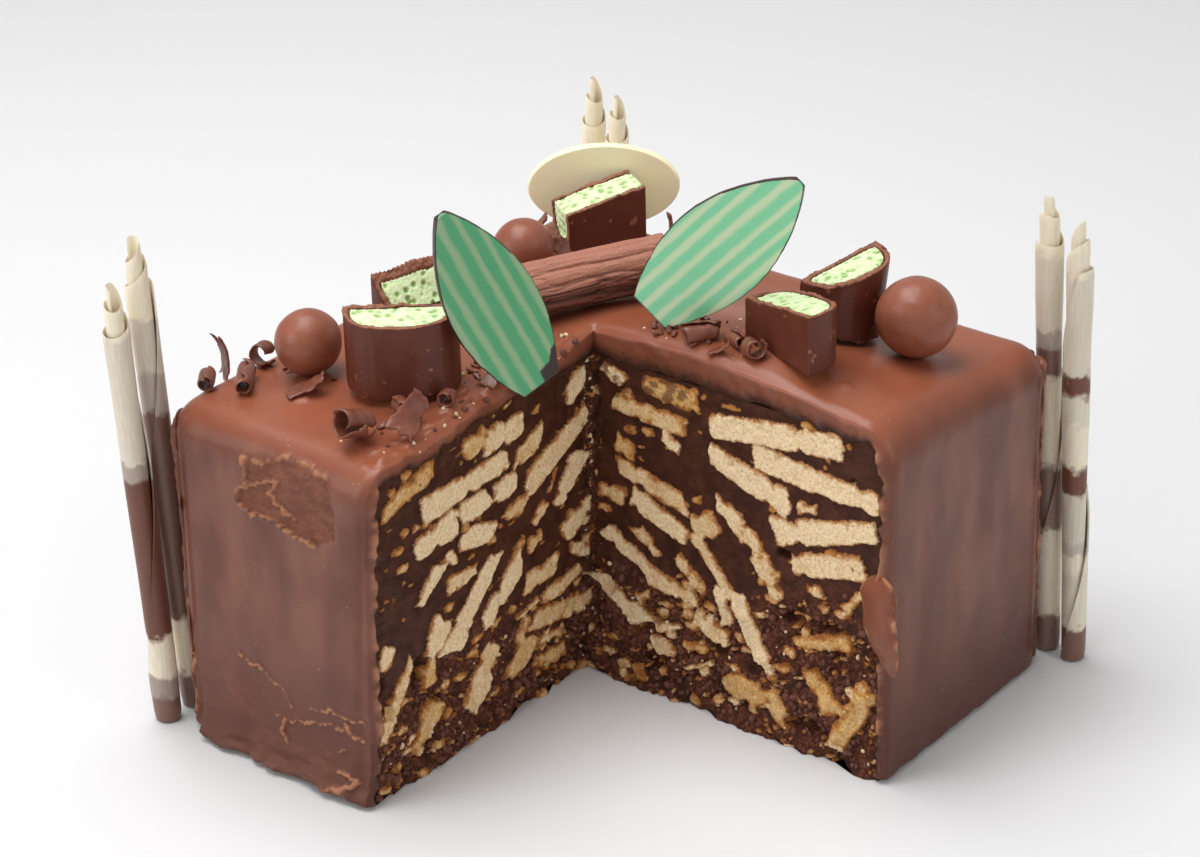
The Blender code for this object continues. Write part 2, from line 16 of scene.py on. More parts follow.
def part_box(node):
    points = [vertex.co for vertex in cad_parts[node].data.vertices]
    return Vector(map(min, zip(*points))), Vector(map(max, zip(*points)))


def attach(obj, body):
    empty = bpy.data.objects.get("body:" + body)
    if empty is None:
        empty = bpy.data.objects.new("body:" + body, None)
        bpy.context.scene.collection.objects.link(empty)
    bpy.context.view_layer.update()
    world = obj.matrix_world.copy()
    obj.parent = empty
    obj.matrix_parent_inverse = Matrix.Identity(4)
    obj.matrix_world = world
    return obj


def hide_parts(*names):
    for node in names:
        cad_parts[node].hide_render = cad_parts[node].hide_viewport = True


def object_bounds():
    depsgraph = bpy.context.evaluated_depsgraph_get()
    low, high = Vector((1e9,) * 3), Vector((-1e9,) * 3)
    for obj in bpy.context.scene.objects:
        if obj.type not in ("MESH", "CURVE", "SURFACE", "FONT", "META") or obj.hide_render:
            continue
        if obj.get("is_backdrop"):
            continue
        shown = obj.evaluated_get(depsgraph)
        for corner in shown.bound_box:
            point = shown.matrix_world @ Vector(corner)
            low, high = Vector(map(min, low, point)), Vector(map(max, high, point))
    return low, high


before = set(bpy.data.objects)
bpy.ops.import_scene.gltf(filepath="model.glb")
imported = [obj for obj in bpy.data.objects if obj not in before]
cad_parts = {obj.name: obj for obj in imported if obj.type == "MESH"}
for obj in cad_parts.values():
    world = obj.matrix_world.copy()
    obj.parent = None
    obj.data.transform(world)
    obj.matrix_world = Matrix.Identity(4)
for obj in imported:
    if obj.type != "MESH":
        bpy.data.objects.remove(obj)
cad_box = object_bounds()
MM = 0.001

# Camera, at the photograph's place. The photograph was taken from above the missing corner with a
# long lens, so the cake's upright edges are almost parallel.
CAMERA_PLACE = (0.46637, -0.57488, 0.45629)
CAMERA_HEADING = math.radians(39.36)
CAMERA_HEIGHT_ANGLE = math.radians(26.67)
CAMERA_ROLL = math.radians(-1.458)
level = Vector((math.cos(CAMERA_HEADING), math.sin(CAMERA_HEADING), 0.0))
backward = Vector((math.sin(CAMERA_HEADING) * math.cos(CAMERA_HEIGHT_ANGLE),
                   -math.cos(CAMERA_HEADING) * math.cos(CAMERA_HEIGHT_ANGLE),
                   math.sin(CAMERA_HEIGHT_ANGLE)))
upward = backward.cross(level)
right = level * math.cos(CAMERA_ROLL) + upward * math.sin(CAMERA_ROLL)
upward = upward * math.cos(CAMERA_ROLL) - level * math.sin(CAMERA_ROLL)
lens = bpy.data.cameras.new("camera")
lens.lens = 90.0
lens.sensor_width = 36.0
lens.sensor_fit = "HORIZONTAL"
camera = bpy.data.objects.new("camera", lens)
bpy.context.scene.collection.objects.link(camera)
camera_turn = Matrix((right, upward, backward)).transposed().to_4x4()
camera.matrix_world = Matrix.Translation(CAMERA_PLACE) @ camera_turn
bpy.context.scene.camera = camera


# Studio: a pale floor under a pale sky, one large soft box above and behind the left shoulder, and
# lower ones at the sides. The boxes show as long soft sheens on the chocolate.
def soft_box(name, place, aim, size, watts):
    """A square area light at a place, aimed at a point."""
    light = bpy.data.lights.new(name, "AREA")
    light.shape = "RECTANGLE"
    light.size, light.size_y = size
    light.energy = watts
    lamp = bpy.data.objects.new(name, light)
    bpy.context.scene.collection.objects.link(lamp)
    toward = Vector(aim) - Vector(place)
    lamp.matrix_world = Matrix.Translation(place) @ toward.to_track_quat("-Z", "Y").to_matrix().to_4x4()


class Finish:
    """A material: uniform values on the Principled shader's own sockets, and nodes for what varies.

    Sizes of patterns and depths of bumps are in millimetres, and a colour is three numbers.
    """

    def __init__(self, name, colour, roughness, uniform=None):
        self.material = bpy.data.materials.new(name)
        self.material.use_nodes = True
        self.tree = self.material.node_tree
        self.shader = self.tree.nodes["Principled BSDF"]
        self.shader.inputs["Base Color"].default_value = (*colour, 1.0)
        self.shader.inputs["Roughness"].default_value = roughness
        for socket, value in (uniform or {}).items():
            self.shader.inputs[socket].default_value = value
        self.place = self.node("TexCoord").outputs["Object"]

    def node(self, kind, sockets=None, **settings):
        """One node: its settings, then its sockets by a value or by the socket that feeds them."""
        made = self.tree.nodes.new("ShaderNode" + kind)
        for setting, value in settings.items():
            setattr(made, setting, value)
        for socket, value in (sockets or {}).items():
            if isinstance(value, bpy.types.NodeSocket):
                self.tree.links.new(value, made.inputs[socket])
            else:
                made.inputs[socket].default_value = value
        return made

    def fields(self, *names):
        """What the piece's mesh says at each point, by name."""
        return [self.node("Attribute", attribute_name=name).outputs["Fac"] for name in names]

    def noise(self, size, detail=3.0, roughness=0.5, place=None):
        """Noise of a size, over the piece's own place or over another vector."""
        place = self.place if place is None else place
        return self.node("TexNoise", {"Vector": place, "Scale": 1.0 / (size * MM), "Detail": detail,
                                      "Roughness": roughness}).outputs["Fac"]

    def stretched(self, scale, rotation=(0, 0, 0)):
        """The piece's own place, turned and stretched."""
        turned = self.node("Mapping", {"Vector": self.place, "Rotation": rotation, "Scale": scale})
        return turned.outputs["Vector"]

    def calc(self, operation, *values):
        """One step of arithmetic on numbers or sockets."""
        return self.node("Math", dict(enumerate(values)), operation=operation).outputs[0]

    def ramp(self, value, low=0.0, high=1.0, bottom=0.0, top=1.0, curve="LINEAR"):
        """A value's way from low to high, as an even way from bottom to top."""
        return self.node("MapRange", {"Value": value, "From Min": low, "From Max": high, "To Min": bottom,
                                      "To Max": top}, interpolation_type=curve).outputs["Result"]

    def eased(self, value, low, high, top=1.0):
        """A value's way from low to high, as an S-curve from 0 to top."""
        return self.ramp(value, low, high, top=top, curve="SMOOTHSTEP")

    def mixed(self, factor, a, b, blend="MIX"):
        """Two colours, or sockets that give them, mixed by a factor."""
        a, b = ((*tone, 1.0) if isinstance(tone, tuple) else tone for tone in (a, b))
        return self.node("Mix", {0: factor, 6: a, 7: b}, data_type="RGBA", blend_type=blend).outputs[2]

    def feed(self, socket, source):
        """Leads a node's output into the shader."""
        self.tree.links.new(source, self.shader.inputs[socket])

    def bumped(self, height, strength, depth):
        """Leads a relief into the shader, and gives the finished material."""
        relief = self.node("Bump", {"Height": height, "Strength": strength, "Distance": depth * MM})
        self.feed("Normal", relief.outputs["Normal"])
        return self.material


bpy.context.scene.view_settings.view_transform = "Standard"
soft_box("overhead", (-0.25, -0.10, 1.10), (0.0, 0.0, 0.08), (0.9, 0.7), 10.5)
soft_box("front_left", (-0.55, -1.00, 0.55), (-0.02, -0.06, 0.05), (0.7, 0.7), 3.4)
soft_box("right", (1.10, 0.10, 0.55), (0.06, 0.02, 0.05), (0.5, 0.8), 1.6)
world = bpy.data.worlds.new("studio")
world.use_nodes = True
world.node_tree.nodes["Background"].inputs["Color"].default_value = (1.0, 0.99, 0.98, 1.0)
world.node_tree.nodes["Background"].inputs["Strength"].default_value = 0.50
bpy.context.scene.world = world
bpy.ops.mesh.primitive_plane_add(size=6.0, location=(0.0, 0.0, -0.0002))
floor = bpy.context.active_object
floor.name = "studio_floor"
paper = Finish("studio_paper", (0.76, 0.76, 0.77), 0.75)
floor.data.materials.append(paper.bumped(paper.noise(10 / 3, 2.0), 0.05, 0.2))
floor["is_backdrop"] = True


# Pressed mix: broken tea biscuits pressed into dark chocolate in a square tin. It was set hard before
# it was cut, so the knife shaved it smooth above and tore it into crumbs lower down.
SIDE = 178 * MM
EDGE_TOP = 102 * MM
COAT = 2.9 * MM
CORNER = 12 * MM
SHOULDER = 10 * MM
DRAFT = 0.010
CUT_X, CUT_X_LEAN = -16.2 * MM, 0.039
CUT_Y, CUT_Y_LEAN = 4.6 * MM, 0.0185
HEAPS = ((11.0, 20, 20, 65, 32), (4.0, -35, -30, 35, 30))
# Biscuits in the cuts, in millimetres: place along the face, height, length, thickness, slope in
# degrees, and how far the biscuit is toasted, from pale to brown.
LEFT_ARM = (
    (-71, 91, 22, 6.0, 17, 0.8), (-32, 92.5, 16, 8.5, 0, 0.3), (-48, 83, 36, 8.0, 3, 0.2),
    (-60.5, 72.8, 17, 8.5, 8, 0.0), (-44.5, 74.8, 14, 8.3, 8, 0.05), (-31.5, 75.5, 10.5, 8.0, 0, 0.1),
    (-22, 84, 13, 7.5, 15, 0.5), (-10, 78, 31, 8.0, 26, 0.4), (-43, 65.5, 14, 7.0, -12, 0.1),
    (-27.5, 67, 9, 6.0, -10, 0.6), (-4, 66.5, 17, 8.0, 52, 0.2), (-63, 59, 14, 5.0, 45, 0.1),
    (-50, 55, 13, 5.5, 0, 0.4), (-46, 45, 31, 8.0, 48, 0.1), (-33.5, 43, 22, 7.5, 36, 0.0),
    (0, 52, 15, 7.5, 25, 0.3), (-16, 41, 14, 7.0, 5, 0.5), (-61, 41, 12, 8.5, 60, 0.2),
    (-77, 29, 23, 5.0, 56, 0.5), (-65, 14, 16, 8.0, 45, 0.7), (-42, 19, 21, 9.0, 60, 0.4),
    (-25, 17, 14, 8.0, 45, 0.7), (-7, 33.5, 18, 5.5, 12, 0.5), (-7, 24.5, 26, 7.0, -10, 0.6),
    (-11, 11, 13, 6.0, -5, 0.7), (-44, 94, 10, 8.0, 10, 0.7), (-67.5, 78.5, 3, 2.5, 0, 0.4),
    (-54, 63, 6, 4.0, -50, 0.3), (-26, 54, 5, 4.0, 10, 0.8), (-19, 53, 7, 5.0, 20, 0.7),
    (2, 41, 13, 5.0, -30, 0.4), (-81, 44.5, 7.5, 6.0, 60, 0.3), (-63, 31, 10, 6.0, 90, 0.7),
    (-22, 32, 11, 3.0, 15, 0.5), (-10, 18, 14, 3.5, -10, 0.6), (-1, 95, 9, 8.0, 20, 0.2),
    (-11.5, 69, 8, 1.6, 62, 0.5), (-17, 61, 8, 5.0, 40, 0.5), (-24, 26, 9, 5.0, 70, 0.6),
)
RIGHT_ARM = (
    (15, 97, 19, 7.0, 0, 0.9), (7.5, 88.5, 26, 6.0, -3, 0.6), (50, 94.5, 44, 7.8, 8, 0.15),
    (63, 85, 42, 7.8, -4, 0.2), (41.5, 78.8, 28, 8.0, -16, 0.15), (66.5, 70.5, 36, 7.8, 17, 0.1),
    (68, 60.8, 26, 7.8, 15, 0.3), (-1, 76, 8, 7.0, -20, 0.8), (8, 67, 26, 6.5, -13, 0.5),
    (-6, 60, 10, 6.0, 0, 0.6), (11, 57.8, 22, 7.2, -22, 0.15), (35.5, 65.5, 12, 6.5, -35, 0.3),
    (43, 60, 10, 6.0, -45, 0.4), (48.5, 51, 14, 6.2, -60, 0.5), (6.5, 48.5, 11, 4.5, -40, 0.5),
    (0, 43.5, 20, 5.8, -30, 0.1), (15, 36.5, 18, 6.0, -10, 0.4), (22, 42.5, 13, 5.2, -40, 0.5),
    (28.5, 27.5, 13, 6.5, -25, 0.4), (33, 36.8, 13, 5.5, -78, 0.1), (43, 32, 25, 6.5, -62, 0.0),
    (66, 36, 21, 5.0, 18, 0.8), (67, 21.2, 16, 7.0, -45, 0.8), (77, 16.5, 24, 7.0, 63, 0.8),
    (41, 13, 15, 10.5, -10, 0.8), (52, 11, 8, 9.0, 80, 0.7), (-4, 26.5, 21, 6.8, -33, 0.1),
    (11, 16, 9, 7.0, 20, 0.3), (-5, 97.5, 9, 5.0, -20, 0.3), (15, 82.5, 7, 5.0, -30, 0.1),
    (35, 98.5, 6, 2.0, 0, 0.9), (61, 76, 7, 4.0, 10, 0.4), (27, 60, 10, 9.0, 30, 0.5),
    (76.5, 52.5, 9, 3.5, 50, 0.6), (64, 52, 5, 4.0, 0, 0.5), (90, 14, 8, 4.0, 80, 0.7),
    (13, 23, 12, 3.0, 22, 0.1), (24, 20, 7, 4.0, 10, 0.8), (25, 14.5, 10, 2.0, 25, 0.2),
    (30, 48, 22, 4.5, -48, 0.5), (5, 30, 7, 4.0, 40, 0.5),
)
# Hollows and nicks, in millimetres: place along the face, height, width, height of it, depth.
LEFT_HOLLOWS = ((-68, 33.5, 7, 11, 4.5), (-83, 36, 4, 7, 3.0), (-51, 70, 1.0, 9, 1.6),
                (-37.5, 76, 0.9, 8, 1.4),
                (-80, 26, 3, 5, 2.5), (-33, 24, 4, 6, 2.0), (-3, 18, 8, 4, 3.0))
RIGHT_HOLLOWS = ((53.5, 59.5, 6, 3.5, 4.0), (56.5, 40, 9, 4, 4.5), (66, 41.5, 21, 3.0, 3.0),
                 (60, 9.0, 11, 6, 4.0), (45, 21, 6, 5, 3.0),
                 (51, 88.5, 2.0, 3.0, 1.8), (75, 88.0, 2.0, 3.0, 1.8), (36, 82, 1.8, 3.0, 1.6),
                 (-8, 30, 6, 6, 3.0), (5, 9, 9, 4, 2.5), (32, 22, 5, 4, 2.5))
# The most that the relief of a cut is sunk and stands proud, in millimetres.
DEEPEST, PROUDEST = -5.5, 1.5


def stacked(*values):
    """Points from their coordinates, which are arrays or numbers, spread to one shape."""
    return np.stack(np.broadcast_arrays(*values), -1)


def value_noise(points, size, seed):
    """Smooth noise from -1 to 1: a random value at each corner of a lattice, blended by an S-curve."""
    scaled = points / size
    cell = np.floor(scaled).astype(np.int64)
    inside = scaled - cell
    inside = inside * inside * (3.0 - 2.0 * inside)
    total = np.zeros(points.shape[:-1])
    for corner in product((0, 1), repeat=points.shape[-1]):
        weight = np.ones(points.shape[:-1])
        for axis, side in enumerate(corner):
            weight = weight * (inside[..., axis] if side else 1.0 - inside[..., axis])
        total += weight * scrambled(cell + np.array(corner), seed)
    return total


def scrambled(cell, seed):
    """A random number from -1 to 1 for each lattice cell, from whole-number mixing."""
    mixed = np.full(cell.shape[:-1], seed * 7919 + 17, np.int64)
    for axis in range(cell.shape[-1]):
        mixed = ((mixed ^ cell[..., axis]) * 0x27D4EB2D) & 0xFFFFFFFF
        mixed = mixed ^ (mixed >> 15)
    mixed = (mixed * 0x2C1B3C6D) & 0xFFFFFFFF
    mixed = mixed ^ (mixed >> 12)
    return (mixed & 0xFFFFF) / float(0x7FFFF) - 1.0


def layered_noise(points, size, seed, layers=3):
    """Noise of halving sizes and halving strengths, added up."""
    return sum(value_noise(points, size / 2 ** k, seed + k) / 2 ** k for k in range(layers))


def grains(points, size, seed):
    """Distance to the nearest of many scattered points, in grain sizes, and that point's random number."""
    cell = np.floor(points / size).astype(np.int64)
    nearest = np.full(points.shape[:-1], 9.0)
    chosen = np.zeros(points.shape[:-1])
    for step in product((-1, 0, 1), repeat=points.shape[-1]):
        there = cell + np.array(step)
        jitter = stacked(*(scrambled(there, seed + 31 * axis) for axis in range(points.shape[-1])))
        apart = points / size - there - (0.5 + 0.45 * jitter)
        distance = np.sqrt((apart ** 2).sum(-1))
        chosen = np.where(distance < nearest, scrambled(there, seed + 5), chosen)
        nearest = np.minimum(distance, nearest)
    return nearest, chosen


def eased(low, high, value):
    """0 below low, 1 above high, and an S-curve between them."""
    part = np.clip((value - low) / (high - low), 0.0, 1.0)
    return part * part * (3.0 - 2.0 * part)


def grid(rows, columns, around=False, start=0):
    """The quads of a grid of points, row by row; around also joins the last column to the first."""
    row = np.arange(rows - 1)[:, None] * columns
    column = np.arange(columns if around else columns - 1)[None, :]
    after = (column + 1) % columns
    quads = np.stack([row + column, row + after, row + columns + after, row + columns + column], -1)
    return quads.reshape(-1, 4) + start


def make_piece(name, points, slot, material, replaced=(), values=None, faces=None, sharp=None, weld=2e-6):
    """A mesh from whole arrays, closed by merging points that meet, and turned outwards.

    Without faces the points are a grid that is rolled round, or many such grids of one size. The faces
    point outwards when the volume under them, the sum of corner triple products, is positive.
    """
    if faces is None:
        rows, columns = points.shape[-3:-1]
        starts = np.arange(points.size // (3 * rows * columns))[:, None, None] * rows * columns
        faces = [(grid(rows, columns, around=True) + starts).reshape(-1, 4)]
    points = points.reshape(-1, 3)
    volume = 0.0
    for group in faces:
        for k in range(1, group.shape[1] - 1):
            a, b, c = points[group[:, 0]], points[group[:, k]], points[group[:, k + 1]]
            volume += np.einsum("ij,ij->i", a, np.cross(b, c)).sum()
    if volume < 0.0:
        faces = [group[:, ::-1] for group in faces]
    corners = np.concatenate([group.ravel() for group in faces])
    sizes = np.concatenate([np.full(len(group), group.shape[1]) for group in faces])
    mesh = bpy.data.meshes.new(name)
    mesh.vertices.add(len(points))
    mesh.vertices.foreach_set("co", points.ravel())
    mesh.loops.add(len(corners))
    mesh.loops.foreach_set("vertex_index", corners)
    mesh.polygons.add(len(sizes))
    mesh.polygons.foreach_set("loop_start", np.concatenate([[0], np.cumsum(sizes)[:-1]]))
    mesh.update(calc_edges=True)
    for label, value in (values or {}).items():
        layer = mesh.attributes.new(label, "FLOAT", "POINT")
        layer.data.foreach_set("value", value.ravel())
    built = bmesh.new()
    built.from_mesh(mesh)
    bmesh.ops.remove_doubles(built, verts=built.verts, dist=weld)
    built.to_mesh(mesh)
    built.free()
    mesh.shade_smooth()
    if sharp is not None:
        mesh.set_sharp_from_angle(angle=math.radians(sharp))
    mesh.materials.append(material)
    made = bpy.data.objects.new(name, mesh)
    bpy.context.scene.collection.objects.link(made)
    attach(made, "root")
    if replaced:
        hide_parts(*replaced)
    return made


def top_height(x, y):
    """Height of the coat's top: level near the edges, heaped as two soft bells under the toppings."""
    height = EDGE_TOP
    for rise, middle_x, middle_y, reach_x, reach_y in HEAPS:
        bell = ((x / MM - middle_x) / reach_x) ** 2 + ((y / MM - middle_y) / reach_y) ** 2
        height = height + rise * MM * np.exp(-bell)
    return height


def rounded_square(inset, counts):
    """Points and outward normals round three of the four sides, from the left cut to the right cut.

    counts are the columns on the four sides and on one corner. Straight runs are even, and the three
    corners are quarter circles of radius CORNER.
    """
    reach = SIDE / 2 - CORNER
    left_end = CUT_X + CUT_X_LEAN * EDGE_TOP
    right_end = CUT_Y + CUT_Y_LEAN * EDGE_TOP
    points, normals = [], []

    def run(start, end, normal, count):
        part = np.linspace(0.0, 1.0, count, endpoint=False)[:, None]
        points.append(np.array(start) * (1 - part) + np.array(end) * part)
        normals.append(np.repeat([normal], count, 0))

    def corner(middle, first, count):
        angle = np.radians(first - np.linspace(0.0, 90.0, count, endpoint=False))
        normal = stacked(np.cos(angle), np.sin(angle))
        points.append(np.array(middle) + CORNER * normal)
        normals.append(normal)

    half = SIDE / 2
    run((left_end, -half), (-reach, -half), (0, -1), counts[0])
    corner((-reach, -reach), -90, counts[4])
    run((-half, -reach), (-half, reach), (-1, 0), counts[1])
    corner((-reach, reach), 180, counts[4])
    run((-reach, half), (reach, half), (0, 1), counts[2])
    corner((reach, reach), 90, counts[4])
    run((half, reach), (half, right_end), (1, 0), counts[3])
    points.append(np.array([[half, right_end]]))
    normals.append(np.array([[1.0, 0.0]]))
    points, normals = np.concatenate(points), np.concatenate(normals)
    return points - normals * inset[..., None, None], normals


def deeper(old, new):
    """Of two sets of fields, at each point those of the set whose first field is greater."""
    nearer = new[0] > old[0]
    return [np.where(nearer, after, before) for before, after in zip(old, new)]


def biscuit_field(along, height, biscuits, torn, seed):
    """How far each point lies inside the nearest biscuit, its toast, its lift, and its crust.

    Each biscuit is a rounded bar turned by its slope, narrower at one end, snapped askew and with a
    notch on both sides. The point is first shifted by noise, so that the broken edges are uneven.
    Between the biscuits lie crumbs: the nearest of scattered points, where its random number is high.
    All but the toast is in millimetres.
    """
    flat = stacked(along, height)
    wander = 0.40 * layered_noise(flat, 5.0, seed) + 0.28 * layered_noise(flat, 1.3, seed + 5, 2)
    drift = 0.34 * layered_noise(flat, 5.0, seed + 9) + 0.28 * layered_noise(flat, 1.3, seed + 14, 2)
    nothing = np.zeros(along.shape)
    found = [nothing - 30.0, nothing, nothing, nothing + 9.0]
    draw = np.random.default_rng(seed)
    for middle, level_height, length, thickness, slope, baked in biscuits:
        bow, lean, lift = draw.uniform(-0.05, 0.05), draw.uniform(-0.03, 0.03), draw.uniform(-0.1, 0.35)
        taper, skew, notch = draw.uniform(-0.30, 0.30), draw.uniform(-0.7, 0.7), draw.uniform(-0.5, 0.5)
        turn = math.radians(slope)
        across, above = along + wander - middle, height + drift - level_height
        x = across * math.cos(turn) + above * math.sin(turn)
        y = -across * math.sin(turn) + above * math.cos(turn) - bow * (x / 6.0) ** 2
        own_seed = seed + int(middle * 7) % 97
        x = x + skew * y + 0.6 * value_noise(stacked(y, x * 0.3), 2.2, own_seed)
        y = y / (1.0 - taper * np.clip(2 * x / length, -1, 1))
        y = y + 0.16 * thickness * np.exp(-((x - notch * length) / 1.4) ** 2) * np.sign(y)
        round_off = 0.22 * min(length, thickness)
        out_x, out_y = np.abs(x) - length / 2 + round_off, np.abs(y) - thickness / 2 + round_off
        gap = np.hypot(np.maximum(out_x, 0), np.maximum(out_y, 0)) + np.minimum(np.maximum(out_x, out_y), 0)
        crust = thickness / 2 - np.abs(y) + 0.5 * (y < 0)
        found = deeper(found, (round_off - gap, baked, lift + lean * x, crust))
    wandered = flat * np.array([0.8, 1.15]) + 1.5 * stacked(wander, drift)
    for size, share, spread in ((5.2, 0.80, 0.34), (2.6, 0.88, 0.30)):
        apart, lot = grains(wandered, size, seed + 23)
        crumb = (spread - apart) * size - 9.0 * (lot < share - 0.50 * torn)
        found = deeper(found, (crumb, 0.9 * lot, 0.1, 1.1))
    return found


def cut_relief(along, height, biscuits, hollows, torn, seed):
    """Relief of a cut in millimetres, positive outward, and the fields its colours follow.

    The dark chocolate is nearly flat where the knife was clean and grainy where it tore. Biscuits
    stand a little proud, with pores, and hollows are sunk bowls with crumbled walls.
    """
    flat = stacked(along, height)
    inside, toast, lift, crust = biscuit_field(along, height, biscuits, torn, seed)
    biscuit = eased(-0.25, 0.45, inside)
    small = grains(flat, 1.1, seed + 40)[0]
    large, lot = grains(flat, 2.6, seed + 50)
    grain = (0.55 - large) * 1.5 * (0.6 + 0.4 * lot) + (0.5 - small) * 0.60
    crag = 1.9 * layered_noise(flat, 8.0, seed + 62) + 0.6 * np.abs(value_noise(flat, 3.6, seed + 64)) - 1.0
    drawn = flat * np.array([0.35, 1.0])
    smooth = 0.16 * layered_noise(drawn, 2.4, seed + 60) + 0.12 * layered_noise(flat, 9.0, seed + 61)
    smooth = smooth - 0.25 * eased(0.45, 0.75, np.abs(layered_noise(flat, 4.5, seed + 66)) - 0.28)
    chocolate = smooth * (1 - torn) + (grain + crag) * torn
    pores = eased(0.42, 0.12, grains(flat, 0.95, seed + 70)[0])
    crumb = 0.12 * layered_noise(flat, 1.6, seed + 71) - 0.30 * pores * (0.4 + 0.6 * torn)
    baked = 0.35 + lift + crumb + torn * (0.45 * layered_noise(flat, 3.0, seed + 72) + 0.5 * crag)
    relief = chocolate * (1 - biscuit) + baked * biscuit
    relief = relief - (0.22 + 0.30 * torn) * np.exp(-((inside + 0.15) / 0.35) ** 2)
    for middle, level_height, width, tall, deep in hollows:
        bowl = 1.0 - ((along - middle) / (width / 2)) ** 2 - ((height - level_height) / (tall / 2)) ** 2
        bowl = bowl + value_noise(flat, 1.8, seed + 80) * 0.18
        relief = relief - deep * np.sqrt(np.clip(bowl, 0.0, 1.0))
    return relief, inside, toast, crust


def cut_face(along, z, from_seam, to_side, tearing, biscuits, hollows, seeds):
    """A cut's relief in metres, its biscuits, toast and crust, and how far it is torn.

    tearing is the heights where the cut starts to tear and is all torn, how far that border wanders,
    and how it falls along the cut. Where the two cuts meet the knife's tip stopped short, and left a
    crumbled seam. The relief fades out at both ends.
    """
    upper, lower, wander, fall = tearing
    border = z / MM - fall * (along / MM - 40.0)
    border = border + wander * value_noise(stacked(along, z), 14 * MM, seeds[0])
    seam = from_seam / MM + 1.2 * value_noise(z[..., None], 4 * MM, seeds[1])
    torn = np.maximum(eased(upper, lower, border), eased(3.4, 1.2, seam))
    relief, inside, toast, crust = cut_relief(along / MM, z / MM, biscuits, hollows, torn, seeds[2])
    fade = eased(0.0, 0.6, from_seam / MM) * eased(0.0, 1.2, to_side / MM)
    return np.clip(relief, DEEPEST, PROUDEST) * MM * fade, inside, toast, crust, torn


# Rows up the mix, columns on its two cuts, and on its sides and one of their corners.
ROWS = 210
LEFT_COLUMNS, RIGHT_COLUMNS = 204, 210
BEHIND = (12, 12, 12, 12, 3)
TOP_SHOULDER = SHOULDER - COAT
mix_top = EDGE_TOP - COAT
rise = np.linspace(0.0, 1.0, ROWS)[:, None]
nominal = rise * mix_top
over_bend = np.clip(nominal - mix_top + TOP_SHOULDER, 0, None)
shoulder_inset = TOP_SHOULDER - np.sqrt(np.clip(TOP_SHOULDER ** 2 - over_bend ** 2, 0, None))


def mix_height(x, y):
    """Height of the pressed mix under the coat."""
    return np.minimum(top_height(x, y) - COAT, EDGE_TOP - 0.3 * MM)


def cut_edges(height):
    """Where the two cuts stand at a height, as x of the left one and y of the right one."""
    return CUT_X + CUT_X_LEAN * height, CUT_Y + CUT_Y_LEAN * height


def brought_to_cuts(x, y, z, left_run, right_run):
    """Slides the first columns of the sides along x and the last along y, so that they end at the cuts."""
    to_left, to_right = np.zeros(x.shape[1]), np.zeros(x.shape[1])
    to_left[:left_run] = np.linspace(1.0, 0.0, left_run, endpoint=False)
    to_right[-right_run:] = np.linspace(0.0, 1.0, right_run + 1)[1:]
    left_cut, right_cut = cut_edges(z)
    return x + to_left * (left_cut - x[:, :1]), y + to_right * (right_cut - y[:, -1:])


def round_the_mix(right_part, left_part, side_part):
    """One array round the mix, from those of the right cut, the left cut and the sides."""
    return np.concatenate([right_part[:, :-1], left_part[:, :-1], side_part], 1)


sides = rounded_square(COAT + shoulder_inset[:, 0], BEHIND)[0]
sides = sides * (1.0 - DRAFT * nominal / EDGE_TOP)[..., None]
outer_x, outer_y = brought_to_cuts(sides[..., 0], sides[..., 1], nominal, BEHIND[0], BEHIND[3])
outer_z = rise * mix_height(outer_x, outer_y)
inner_x, inner_y = cut_edges(nominal)
part = np.linspace(0.0, 1.0, RIGHT_COLUMNS)[None, :]
right_x = outer_x[:, -1:] * (1 - part) + inner_x * part
right_z = rise * mix_height(right_x, inner_y)
part = np.linspace(0.0, 1.0, LEFT_COLUMNS)[None, :]
left_y = inner_y * (1 - part) + outer_y[:, :1] * part
left_z = rise * mix_height(inner_x, left_y)
left_relief, left_inside, left_toast, left_crust, left_torn = cut_face(
    left_y, left_z, inner_y - left_y, left_y - outer_y[:, :1], (44.0, 22.0, 5.0, 0.0),
    LEFT_ARM, LEFT_HOLLOWS, (3, 5, 11))
right_relief, right_inside, right_toast, right_crust, right_torn = cut_face(
    right_x, right_z, right_x - inner_x, outer_x[:, -1:] - right_x, (56.0, 34.0, 6.0, 0.12),
    RIGHT_ARM, RIGHT_HOLLOWS, (4, 6, 23))
left_x = cut_edges(left_z)[0] + left_relief
right_y = cut_edges(right_z)[1] - right_relief

ring_points = stacked(round_the_mix(right_x, left_x, outer_x), round_the_mix(right_y, left_y, outer_y),
                      round_the_mix(right_z, left_z, outer_z))
ring = ring_points.shape[1]
nothing = np.zeros(outer_x.shape)
dragged = eased(26.0, 18.0, right_x / MM) * eased(88.0, 94.0, right_z / MM)
mix_fields = {"biscuit": round_the_mix(right_inside, left_inside, nothing - 5.0),
              "toast": round_the_mix(right_toast, left_toast, nothing),
              "torn": round_the_mix(right_torn, left_torn, nothing),
              "crust": round_the_mix(right_crust, left_crust, nothing),
              "smear": round_the_mix(dragged, 0.0 * left_z, nothing)}
# A fan of triangles round a middle point closes the underside, and another the top under the coat.
HUB = -40 * MM, 40 * MM
hubs = np.array([[*HUB, 0.0], [*HUB, mix_height(*HUB)]])
mix_points = np.concatenate([ring_points.reshape(-1, 3), hubs])
first = np.arange(ring)
after = (first + 1) % ring
last_row = (ROWS - 1) * ring
under = stacked(len(mix_points) - 2, after, first)
over = stacked(len(mix_points) - 1, first + last_row, after + last_row)


